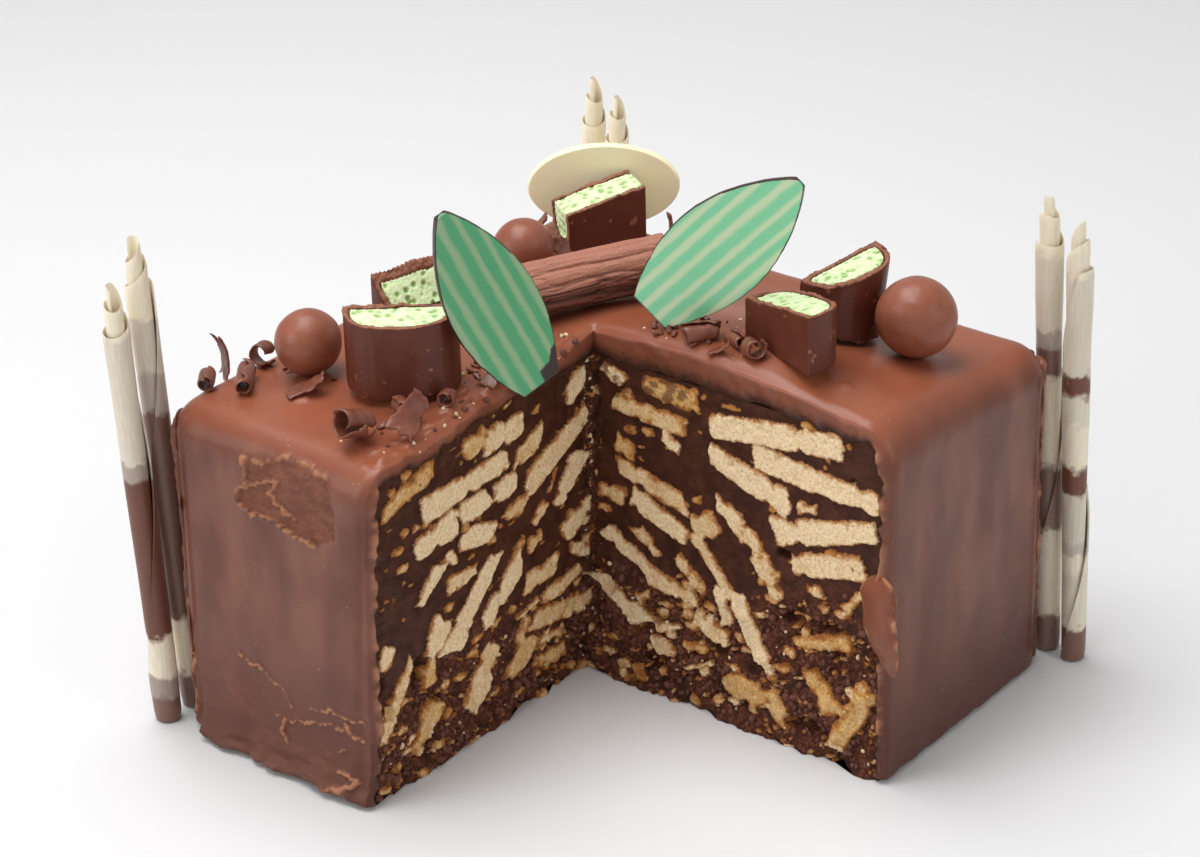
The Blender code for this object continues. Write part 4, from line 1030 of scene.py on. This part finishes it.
def scroll(foot, tip, height, screw, start, seed):
    """A spiral strip carried up the stick.

    Round the strip the radius falls evenly with the angle; both faces of the sheet make one closed
    outline, which is turned as it rises. The sheet's upper end drops from the inner layers to the
    outer one, and the last row of each end is drawn to the middle of the sheet.
    """
    part = np.linspace(0.0, 1.0, SCROLL_POINTS)
    middle = STICK_RADIUS * (0.97 - 0.68 * part)
    thick = STICK_SHEET * (0.55 + 0.45 * np.sin(math.pi * np.clip(part, 0.03, 0.97)) ** 0.3) / 2
    outline_radius = np.concatenate([middle + thick, (middle - thick)[::-1]])
    middle, part = np.concatenate([middle, middle[::-1]]), np.concatenate([part, part[::-1]])
    angle = 2 * math.pi * STICK_TURNS * part
    lean = np.array([tip[0] - foot[0], tip[1] - foot[1], height]) * MM
    length = np.linalg.norm(lean)
    uneven = 0.5 * value_noise(stacked(part * 9.0, 0.0), 1.0, seed)
    drop = np.clip(16.0 * (1 - part) ** 1.3 - 2.2 * np.cos(angle) + uneven, 0.0, None) * MM
    level = np.linspace(0.0, 1.0, SCROLL_ROWS)[:, None] ** 0.9
    z = level * (length - drop)
    inside = (level > 0.0) & (level < 1.0)
    radius = np.where(inside, outline_radius, middle)
    radius = radius * (1.0 + 0.035 * value_noise(stacked(z / MM, angle), 16.0, seed + 3))
    turn = angle + math.radians(start) + 2 * math.pi * screw * z / length
    local = stacked(radius * np.cos(turn), radius * np.sin(turn), z)
    upright = np.array(Vector(lean).to_track_quat("Z", "Y").to_matrix())
    return local @ upright.T + np.array([foot[0], foot[1], 0.4]) * MM


def band_tone(value):
    """Milk chocolate at 0, grey at a half and cream at 1."""
    return [*(np.interp(value, (0.0, 0.5, 1.0), channel) for channel in zip(MILK, GREY, CREAM)), 1.0]


def stick_finish(name, bands):
    """White chocolate with bands of milk chocolate: a ramp over the height, its edges shifted by noise."""
    made = Finish("rolled_chocolate_" + name, (0.75, 0.66, 0.42), 0.42,
                  {"Subsurface Weight": 0.12, "Subsurface Radius": (2.0 * MM, 1.2 * MM, 0.7 * MM)})
    height = made.node("SeparateXYZ", {0: made.place}).outputs["Z"]
    shifted = made.calc("MULTIPLY_ADD", made.noise(3.5), 9.0 * MM, height)
    ramp = made.node("ValToRGB", {0: made.ramp(shifted, 4.5 * MM, (4.5 + BANDS_TOP) * MM)})
    low, places = 0.0, []
    for upper, value in bands:
        soft = min(1.0, (upper - low) * 0.2)
        places += [(low + soft, value), (upper - soft, value)]
        low = upper
    stops = ramp.color_ramp.elements
    for stop, (at, value) in ((stops[0], places[0]), (stops[1], places[-1])):
        stop.position, stop.color = at / BANDS_TOP, band_tone(value)
    for at, value in places[1:-1]:
        stops.new(at / BANDS_TOP).color = band_tone(value)
    streak = made.noise(0.5, 2.0, place=made.stretched((1.0, 1.0, 0.06)))
    streaked = made.ramp(streak, 0.35, 0.75, top=0.40)
    made.feed("Base Color", made.mixed(streaked, ramp.outputs["Color"], (0.74, 0.66, 0.58), "MULTIPLY"))
    return made.bumped(streak, 0.25, 0.15)


for seed, (name, stick) in enumerate(STICKS.items()):
    make_piece("rolled_stick_" + name, scroll(*stick, 200 + 10 * seed), "rolled_chocolate",
               stick_finish(name, STICK_BANDS[name]), ["rolled_stick_" + name], sharp=50)


# Malted balls: crisp balls tumbled in milk chocolate, which leaves a satin skin with shallow dimples.
def settle(points, node):
    """Moves points so that the middle of their box is the middle of the node's box."""
    low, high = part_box(node)
    middle = (points.reshape(-1, 3).min(0) + points.reshape(-1, 3).max(0)) / 2
    return points + (np.array(low) + np.array(high)) / 2 - middle


BALL_ROWS, BALL_COLUMNS = 61, 120
ball_chocolate = plain_finish("ball_chocolate", (0.245, 0.073, 0.039), 0.33, (0.300, 0.098, 0.055), 5, 0.12,
                              {"Specular IOR Level": 0.40})
for seed, name in enumerate(("malt_ball_back", "malt_ball_left", "malt_ball_right")):
    low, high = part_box(name)
    middle, radius = (np.array(low) + np.array(high)) / 2, (high.z - low.z) / 2
    # A point's radius is the ball's, less two sizes of smooth noise.
    ball = unit_ball(BALL_ROWS, BALL_COLUMNS)
    dimple = 0.014 * value_noise(ball, 0.7, 300 + seed) + 0.004 * layered_noise(ball, 0.22, 310 + seed, 2)
    ball = middle + ball * (radius * (0.992 + dimple))[..., None]
    make_piece(name, ball, "ball_chocolate", ball_chocolate, [name])


# Chopped mint bar: a bar of pale green aerated mint in a moulded milk chocolate coat, chopped across
# so that the foam is bare. Its bubbles are cut open, and the coat's edge is chipped.
BAR_VOXEL = 0.36 * MM
# Turn of each piece about x, y and z, then the slope and heading of its break, in degrees.
BARS = {
    "left_front": ((0, 0, -140), 3, -60), "left_rear": ((0, 0, -104), 50, -14),
    "back": ((0, 90, 60), 12, 240), "right_front": ((0, 0, -21), 11, 159),
    "right_rear": ((5, -12, -111), 12, -112),
}


def turning(angles):
    """The matrix that turns points about x, then y, then z, by angles in degrees."""
    return np.array(Euler([math.radians(angle) for angle in angles], "XYZ").to_matrix())


def remeshed(node):
    """A copy of a CAD node's closed mesh, remeshed evenly, as its points, normals and faces."""
    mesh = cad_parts[node].data.copy()
    built = bmesh.new()
    built.from_mesh(mesh)
    bmesh.ops.remove_doubles(built, verts=built.verts, dist=0.02 * MM)
    built.to_mesh(mesh)
    built.free()
    holder = bpy.data.objects.new(node + "_blank", mesh)
    bpy.context.scene.collection.objects.link(holder)
    even = holder.modifiers.new("even", "REMESH")
    even.mode = "VOXEL"
    even.voxel_size = BAR_VOXEL
    soften = holder.modifiers.new("soften", "SMOOTH")
    soften.factor, soften.iterations = 0.5, 4
    graph = bpy.context.evaluated_depsgraph_get()
    done = bpy.data.meshes.new_from_object(holder.evaluated_get(graph), depsgraph=graph)
    bpy.data.objects.remove(holder)
    points, normals = np.empty(len(done.vertices) * 3), np.empty(len(done.vertices) * 3)
    done.vertices.foreach_get("co", points)
    done.vertices.foreach_get("normal", normals)
    corners = np.empty(len(done.loops), np.int32)
    done.loops.foreach_get("vertex_index", corners)
    return points.reshape(-1, 3), normals.reshape(-1, 3), corners.reshape(-1, 4)


def mint_finish():
    """Aerated mint: pale foam, with a deeper green painted into the opened bubbles as painted shade in
    their hollows, and a moist sheen.
    """
    made = Finish("mint_filling", (0.50, 0.76, 0.26), 0.5,
                  {"Subsurface Weight": 0.25, "Subsurface Radius": (1.0 * MM, 1.6 * MM, 0.6 * MM)})
    foam = made.noise(0.8, 4.0)
    pale = made.mixed(foam, (0.62, 0.80, 0.37), (0.88, 0.97, 0.68))
    # Painted shade: the bubble field darkens the hollows of the opened bubbles to a deeper green.
    made.feed("Base Color", made.mixed(*made.fields("bubble"), pale, (0.255, 0.45, 0.105)))
    return made.bumped(foam, 0.5, 0.35)


def bar_finish():
    """Moulded milk chocolate: dark satin, duller on its broken rim, lighter in its scuffs, and with lighter
    spots on the rim that are partly wear and partly painted highlight.
    """
    made = Finish("bar_chocolate", (0.095, 0.032, 0.019), 0.34, {"Specular IOR Level": 0.28})
    rim = made.fields("rim")[0]
    fine = made.noise(0.8)
    tone = made.mixed(made.noise(6), (0.090, 0.022, 0.0125), (0.142, 0.038, 0.021))
    # Partly wear and partly painted highlight: lighter spots along the broken rim.
    worn_and_highlit = made.ramp(made.calc("MULTIPLY", fine, rim), 0.15, 0.60)
    tone = made.mixed(worn_and_highlit, tone, (0.33, 0.135, 0.075))
    smudged = made.ramp(made.noise(3.2, 5.0), 0.655, 0.70, top=0.65)
    tone = made.mixed(smudged, tone, (0.33, 0.155, 0.100))
    scuffed = made.ramp(fine, 0.745, 0.775)
    made.feed("Base Color", made.mixed(scuffed, tone, (0.46, 0.27, 0.18)))
    made.feed("Roughness", made.ramp(rim, bottom=0.34, top=0.62))
    return made.bumped(fine, 0.15, 0.2)


mint_filling, bar_chocolate = mint_finish(), bar_finish()
for seed, (name, (angles, slope, heading)) in enumerate(BARS.items()):
    axis = turning(angles)[:, 2]
    slope, heading = np.radians([slope, heading])
    broken = np.array([math.sin(slope) * math.cos(heading), math.sin(slope) * math.sin(heading),
                       math.cos(slope)])
    for part_name in ("filling", "coat"):
        node = "mint_bar_" + name + "_" + part_name
        points, normals, faces = remeshed(node)
        cut = eased(0.55, 0.85, np.maximum(np.abs(normals @ axis), normals @ broken))
        # Both pieces share the slow waves of the break, so that they stay one in the other.
        wave = 0.75 * value_noise(points, 9 * MM, 400 + seed)
        wave = wave + 0.35 * value_noise(points, 4 * MM, 420 + seed)
        if part_name == "filling":
            bowl = eased(0.50, 0.16, grains(points, 2.5 * MM, 440 + seed)[0])
            froth = grains(points, 0.95 * MM, 460 + seed)[0]
            sunk = np.minimum(0.10 - 0.80 * bowl - 0.22 * eased(0.5, 0.2, froth), 0.0)
            moved = cut * (wave - 0.25) + sunk * cut
            # The bubble field, from the sunk bowls and froth pits, carries the painted shade in their
            # hollows.
            values = {"bubble": np.clip(0.95 * bowl + 0.30 * eased(0.45, 0.2, froth), 0.0, 1.0)}
            slot, material = "mint_filling", mint_filling
        else:
            chipped = layered_noise(points, 1.6 * MM, 480 + seed, 2)
            skin = 0.05 * value_noise(points, 5 * MM, 500 + seed)
            moved = cut * (wave + 0.45 * chipped) + (1 - cut) * skin
            values = {"rim": cut}
            slot, material = "bar_chocolate", bar_chocolate
        make_piece(node, points + normals * (moved * MM)[:, None], slot, material, [node], values, [faces])


# Printed leaves: thin plates of dark chocolate, with a green print on the front that has pale streaks
# from end to end. They stand on their broken lower tips; the left one has lost a corner of its print.
LEAF_THICKNESS = 1.8 * MM
LEAF_ROWS, LEAF_COLUMNS = 120, 96
# Heading and lean in degrees, length and width in millimetres, and the print's green and pale tones.
LEAVES = {"left": (66, -26, 62, 23.5, (0.080, 0.385, 0.165), (0.330, 0.480, 0.270)),
          "right": (22, 45, 60, 25.5, (0.225, 0.650, 0.360), (0.640, 0.740, 0.470))}
# The corner of its print that the left leaf lost, across and along the leaf in millimetres.
LOST_CORNER = (1.0, -1.0), (12.0, -1.0), (12.0, 9.5), (7.5, 8.0), (5.5, 5.0), (2.0, 4.5)


def leaf_shell(length, width):
    """An almond plate: half its width goes with the sine of the way along; it bows out a little.

    Front and back are one grid rolled round the plate's two long edges, and both ends are closed by
    rows of no width.
    """
    u = np.linspace(0.0, 1.0, LEAF_ROWS)[:, None]
    angle = once_round(LEAF_COLUMNS)
    half = (width / 2 * np.sin(math.pi * (0.10 + 0.90 * u)) ** 0.8 + 1.0) * MM
    closed = np.clip(np.minimum(u, 1 - u) / 0.004, 0.0, 1.0)
    across = np.sign(np.cos(angle)) * np.abs(np.cos(angle)) ** 0.9
    deep = np.clip(np.sin(angle) * 6.0, -1.0, 1.0)
    rag = 0.12 * MM * value_noise(stacked(u * length, across), 2.0, 600)
    y = 1.2 * MM * np.sin(math.pi * u) + deep * LEAF_THICKNESS / 2 * closed
    points = stacked(half * across * closed + rag, y, u * length * MM)
    front = (deep < -0.999) & (np.abs(across) * half < half - 0.35 * MM) & (u > 0.01) & (u < 0.992)
    return points, front.astype(float), across * half / MM, u * length + 0 * angle


def leaf_finish(name, green, pale):
    """Dark chocolate under a print: pale streaks are noise drawn out along the leaf."""
    made = Finish("printed_leaf_" + name, (0.035, 0.014, 0.010), 0.32)
    printed, across, along = made.fields("printed", "across", "along")
    flat = made.node("CombineXYZ", {"X": across, "Y": along}).outputs["Vector"]

    def speckled(scale, detail):
        """Noise over the print, whose places are in millimetres."""
        return made.node("TexNoise", {"Vector": flat, "Scale": scale, "Detail": detail}).outputs["Fac"]

    drawn = made.node("Mapping", {"Vector": flat, "Scale": (1.0, 0.035, 1.0), "Rotation": (0, 0, 0.05)})
    streak = made.node("TexWave", {"Vector": drawn.outputs["Vector"], "Scale": 0.068, "Distortion": 2.6,
                                   "Detail": 2.0, "Detail Scale": 2.2}, bands_direction="X").outputs["Fac"]
    weave = speckled(3.0, 2.0)
    streak_edge = made.ramp(speckled(0.07, 1.0), 0.3, 0.7, 0.05, 0.62)
    inked = made.mixed(made.eased(streak, streak_edge, 1.05, 0.85), green, pale)
    dots = made.ramp(weave, 0.3, 0.7, 0.88, 1.10)
    inked = made.node("VectorMath", {0: inked, 1: dots}, operation="MULTIPLY").outputs[0]
    whole = made.calc("MULTIPLY", printed, made.ramp(speckled(0.9, 3.0), 0.80, 0.77))
    made.feed("Base Color", made.mixed(whole, (0.030, 0.0125, 0.009), inked))
    return made.bumped(weave, 0.12, 0.1)


for name, (heading, lean, length, width, green, pale) in LEAVES.items():
    points, printed, across, along = leaf_shell(length, width)
    if name == "left":
        torn_across = across + 0.5 * value_noise(stacked(across, along), 2.0, 610)
        printed = printed * eased(0.2, -0.2, within(stacked(torn_across, along), LOST_CORNER))
    tilted = points @ turning((0, lean, 0)).T @ turning((0, 0, heading)).T
    make_piece("leaf_" + name, settle(tilted, "leaf_" + name), "printed_leaf",
               leaf_finish(name, green, pale), ["leaf_" + name],
               {"printed": printed, "across": across, "along": along}, sharp=40)


# Oval plaque: a moulded oval of white chocolate with a soft rim, stood on its long edge. It is bare.
PLAQUE_WIDTH, PLAQUE_TALL, PLAQUE_THICKNESS, PLAQUE_FACING = 46 * MM, 26.5 * MM, 3.5 * MM, 39
PLAQUE_ROWS, PLAQUE_COLUMNS = 61, 180
# The share of the profile that is the rim, and how much smaller than the oval the faces are.
RIM_SHARE, RIM_INSET = 0.26, 0.028
# Round the oval the rim is a half circle in section, and the faces run in flat to their middle.
swing = once_round(PLAQUE_COLUMNS)
profile = np.linspace(-1.0, 1.0, PLAQUE_ROWS)[:, None]
rim_angle = np.clip(np.abs(profile) / RIM_SHARE, 0, 1) * math.pi / 2
scale = np.where(np.abs(profile) < RIM_SHARE, 1.0 - RIM_INSET * (1 - np.cos(rim_angle)),
                 (1.0 - RIM_INSET) * (1 - np.abs(profile)) / (1 - RIM_SHARE))
thick = np.sign(profile) * PLAQUE_THICKNESS / 2 * np.sin(rim_angle)
scale = scale * (1.0 + 0.006 * value_noise(stacked(np.cos(swing), np.sin(swing)), 0.5, 620))
oval = stacked(PLAQUE_WIDTH / 2 * scale * np.cos(swing), PLAQUE_TALL / 2 * scale * np.sin(swing), thick)
oval[..., 2] += 0.06 * MM * value_noise(oval, 7 * MM, 621)
oval = oval @ turning((90, 0, PLAQUE_FACING)).T
ivory = plain_finish("ivory_chocolate", (0.99, 0.87, 0.57), 0.42, (0.99, 0.89, 0.62), 9, 0.10,
                     {"Subsurface Weight": 0.15, "Subsurface Radius": (2.5 * MM, 1.5 * MM, 0.8 * MM)})
make_piece("oval_plaque", settle(oval, "oval_plaque"), "ivory_chocolate", ivory, ["oval_plaque"])


# Crinkled log: milk chocolate poured in thin folded sheets. Its sides show the folds as fine ridges
# from end to end, and its top is dull. Its creases are darkened as painted shade, and its top is painted
# paler as painted light.
LOG_HEADING, LOG_RISE, LOG_LENGTH, LOG_RADIUS = 57, 4, 46 * MM, 8.0 * MM
LOG_ROWS, LOG_COLUMNS = 130, 220
swing = once_round(LOG_COLUMNS)
u = np.linspace(0.0, 1.0, LOG_ROWS)[:, None]
# The radius is a slow lobed outline, less sharp creases where two noises of the angle cross zero.
circle = stacked(np.cos(swing), np.sin(swing), 0.55 * u)
drift = circle + 0.05 * value_noise(stacked(u * 7, swing), 1.0, 640)[..., None]
crease = 1.0 - eased(0.0, 0.22, np.abs(value_noise(drift, 0.20, 641)))
minor = 1.0 - eased(0.0, 0.30, np.abs(value_noise(drift, 0.085, 642)))
flatter = eased(0.35, 0.75, np.sin(swing - 0.35))
bent = swing + 0.20 * value_noise(stacked(u * 3.5, swing), 1.0, 645)
layer = np.abs(np.sin(5.5 * bent)) ** 0.6
radius = LOG_RADIUS * (0.95 + 0.11 * layer - (0.170 * crease + 0.075 * minor) * (1 - 0.75 * flatter))
radius = radius + 0.35 * MM * value_noise(circle, 0.8, 643) * flatter
end = np.clip(np.minimum(u, 1 - u) / 0.05, 0.0, 1.0)
radius = radius * (1 - (1 - end) ** 3)
torn_end = layered_noise(stacked(radius * np.cos(swing), radius * np.sin(swing), u * 20 * MM), 3 * MM, 644)
deep = LOG_LENGTH * (np.clip(u, 0.04, 0.96) - 0.5) / 0.92 + 0.8 * MM * torn_end * (1 - end)
log = stacked(radius * np.cos(swing), 0.92 * radius * np.sin(swing), deep)
log = log @ turning((90 - LOG_RISE, 0, LOG_HEADING + 90)).T
# Painted shade: darker in the creases and between the fold layers, and less so on the lit top.
dark = np.clip(0.85 * crease + 0.4 * minor + 1.2 * (0.55 - layer), 0, 1) * (1 - 0.8 * flatter)


def log_finish():
    """Folded milk chocolate: darker in its creases and paler on its ridges as painted shade, and paler on
    top as painted light.
    """
    made = Finish("log_chocolate", (0.16, 0.06, 0.038), 0.6)
    crease, lit_top = made.fields("crease", "lit_top")
    fine = made.noise(0.7, 4.0)
    body = made.mixed(fine, (0.120, 0.034, 0.019), (0.300, 0.094, 0.052))
    top = made.mixed(fine, (0.30, 0.100, 0.058), (0.48, 0.205, 0.130))
    # Painted light and shade: the lit top tone goes over the body, and the crease shade over both.
    made.feed("Base Color", made.mixed(crease, made.mixed(lit_top, body, top), (0.048, 0.0165, 0.011)))
    return made.bumped(fine, 0.8, 0.3)


make_piece("crinkled_log", settle(log, "crinkled_log"), "log_chocolate", log_finish(), ["crinkled_log"],
           {"crease": dark * end, "lit_top": flatter * end})


# Chocolate shavings: curls and shards scraped from a block of milk chocolate, each bent by the blade.
SHAVING = 0.8 * MM
# Rolls: turn about x, y and z, radius inside and outside in millimetres, turns, width.
ROLLS = {
    "left_outer": ((90, 0, 40), 1.1, 2.4, 1.25, 8), "left_inner": ((90, 0, 40), 1.2, 2.6, 1.25, 13),
    "left_loop": ((80, 20, 10), 1.8, 3.6, 0.95, 5), "arm_thick": ((70, 30, -20), 2.2, 4.8, 1.05, 10),
    "arm_small": ((90, 0, 70), 1.2, 2.6, 1.30, 9), "arm_ring": ((90, 0, 20), 1.2, 2.4, 1.10, 4),
    "back_curl": ((90, 0, 10), 1.4, 2.8, 0.90, 7), "cut_long": ((90, 0, 140), 1.3, 2.6, 1.25, 10),
    "cut_short": ((90, 0, 69), 1.0, 2.1, 1.20, 7), "cut_ring": ((80, 0, 60), 1.6, 3.4, 1.10, 5),
}
# Shards: turn, length and width in millimetres, bend in degrees, and how far they taper.
SHARDS = {
    "left_spike": ((0, -70, 60), 13, 7, 50, 0.85), "left_triangle": ((0, -12, 30), 12, 10, 35, 0.80),
    "arm_sheet": ((30, -20, 100), 13, 8, 80, 0.30), "back_left": ((0, -25, 20), 11, 8, 30, 0.60),
    "back_chunk": ((0, -40, 150), 10, 7, 40, 0.30), "back_spike": ((0, -60, 30), 10, 6, 50, 0.80),
    "cut_spike": ((0, -70, 20), 10, 5, 40, 0.50), "cut_triangle": ((0, -15, 0), 8, 5, 35, 0.85),
    "leaf_foot": ((0, -20, 100), 9, 6, 30, 0.60),
}


def shaved(u, v, seed, edge):
    """Moves a sheet's parameters near its edges by noise, so that no edge is straight."""
    ragged = value_noise(stacked(u * 5.0, v * 5.0), 1.0, seed)
    nibbled = 1.4 * value_noise(stacked(u * 9.0, v * 2.0), 1.0, seed + 1)
    return u + edge * ragged * np.abs(2 * u - 1) ** 3, v + edge * nibbled * np.abs(2 * v - 1) ** 3


def plated(surface, seed, edge=0.05, rows=64, columns=28):
    """A sheet with thickness: its two faces are the surface moved out along its normal, rolled into one.

    The thickness swells and thins by noise, and falls to nothing at the edges over a short way.
    """
    u, v = np.meshgrid(np.linspace(0.0, 1.0, rows), np.linspace(0.0, 1.0, columns), indexing="ij")
    bent_u, bent_v = shaved(u, v, seed, edge)
    sheet = surface(bent_u, bent_v)
    normal = np.cross(np.gradient(sheet, axis=0), np.gradient(sheet, axis=1))
    normal = normal / np.maximum(np.linalg.norm(normal, axis=-1, keepdims=True), 1e-12)
    border = np.minimum(np.minimum(u, 1 - u) * 20.0, np.minimum(v, 1 - v) * 9.0)
    thick = SHAVING / 2 * (0.95 + 0.3 * value_noise(sheet, 1.5 * MM, seed + 2))
    moved = normal * (thick * np.sqrt(np.clip(border, 0.0, 1.0)))[..., None]
    front, back = sheet + moved, sheet - moved
    return np.concatenate([front, back[:, ::-1]], 1)


def rolled(inside, outside, turns, width, phase):
    """A roll: the radius grows evenly with the angle, and each turn slips a little sideways."""
    def surface(u, v):
        angle = 2 * math.pi * turns * u
        radius = (inside + (outside - inside) * u) * (1 + 0.08 * np.sin(3 * v + phase))
        return stacked(radius * np.cos(angle), radius * np.sin(angle), (v - 0.5 + 0.12 * u) * width) * MM
    return surface


def snapped(length, width, bend, taper, twist=0.0, bent_from=0.0):
    """A shard: an arc of the bend's angle along u, narrowing by the taper, twisted a little across v."""
    def surface(u, v):
        angle, radius = math.radians(bend) * (u - bent_from), length / math.radians(bend)
        across = (v - 0.5) * width * (1 - taper * u)
        lifted = radius * (1 - np.cos(angle)) + twist * length * u * (v - 0.5) * 2
        return stacked(radius * np.sin(angle), across, lifted) * MM
    return surface


shaving_chocolate = plain_finish("shaving_chocolate", (0.150, 0.042, 0.023), 0.36, (0.235, 0.074, 0.042),
                                 3, 0.30)
shavings = [("curl_" + name, angles, plated(rolled(*shape, seed), 700 + 7 * seed, 0.06, 90))
            for seed, (name, (angles, *shape)) in enumerate(ROLLS.items())]
shavings += [("shard_" + name, angles, plated(snapped(*shape, twist=0.10), 800 + 7 * seed, 0.08, 48))
             for seed, (name, (angles, *shape)) in enumerate(SHARDS.items())]
for name, angles, sheet in shavings:
    sheet = settle(sheet @ turning(angles).T, name)
    make_piece(name, sheet, "shaving_chocolate", shaving_chocolate, [name])


# Loose flakes: thin chips that fell round the shavings, by the left cut, the right one and the log.
# Each patch has its middle and reach along x and y in millimetres, and how many flakes lie in it.
FLAKE_PATCHES = ((-25, -56, 7, 14, 13), (-24, -30, 5, 8, 6), (14, 12, 9, 4, 12),
                 (-68, -52, 12, 10, 8), (-38, 28, 8, 6, 8), (32, 14, 6, 4, 5))
FLAKE_ROWS, FLAKE_COLUMNS = 14, 8
flake_draw = np.random.default_rng(91)
flakes = []
for middle_x, middle_y, reach_x, reach_y, count in FLAKE_PATCHES:
    for _ in range(count):
        size = flake_draw.uniform(1.2, 3.4)
        bend, taper = flake_draw.uniform(20, 150), flake_draw.uniform(0.0, 0.8)
        x, y = flake_draw.normal((middle_x, middle_y), (reach_x / 2, reach_y / 2))
        angles = flake_draw.uniform((-25, -25, 0), (25, 25, 360))
        # None lies where the corner was cut out, or nearer to the cuts than 1.5 mm.
        if x > pole_x / MM - 1.5 and y < pole_y / MM + 1.5:
            continue
        chip = snapped(size, 0.64 * size, bend, taper, bent_from=0.5)
        flake = plated(chip, 900 + len(flakes), 0.12, FLAKE_ROWS, FLAKE_COLUMNS) @ turning(angles).T
        ground = float(top_height(x * MM, y * MM)) - 0.15 * MM
        flakes.append(flake + np.array([x * MM, y * MM, ground - flake[..., 2].min()]))
make_piece("loose_flakes", np.stack(flakes), "shaving_chocolate", shaving_chocolate)


visual_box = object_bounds()
sizes = {"cad": [list(corner) for corner in cad_box], "visual": [list(corner) for corner in visual_box]}
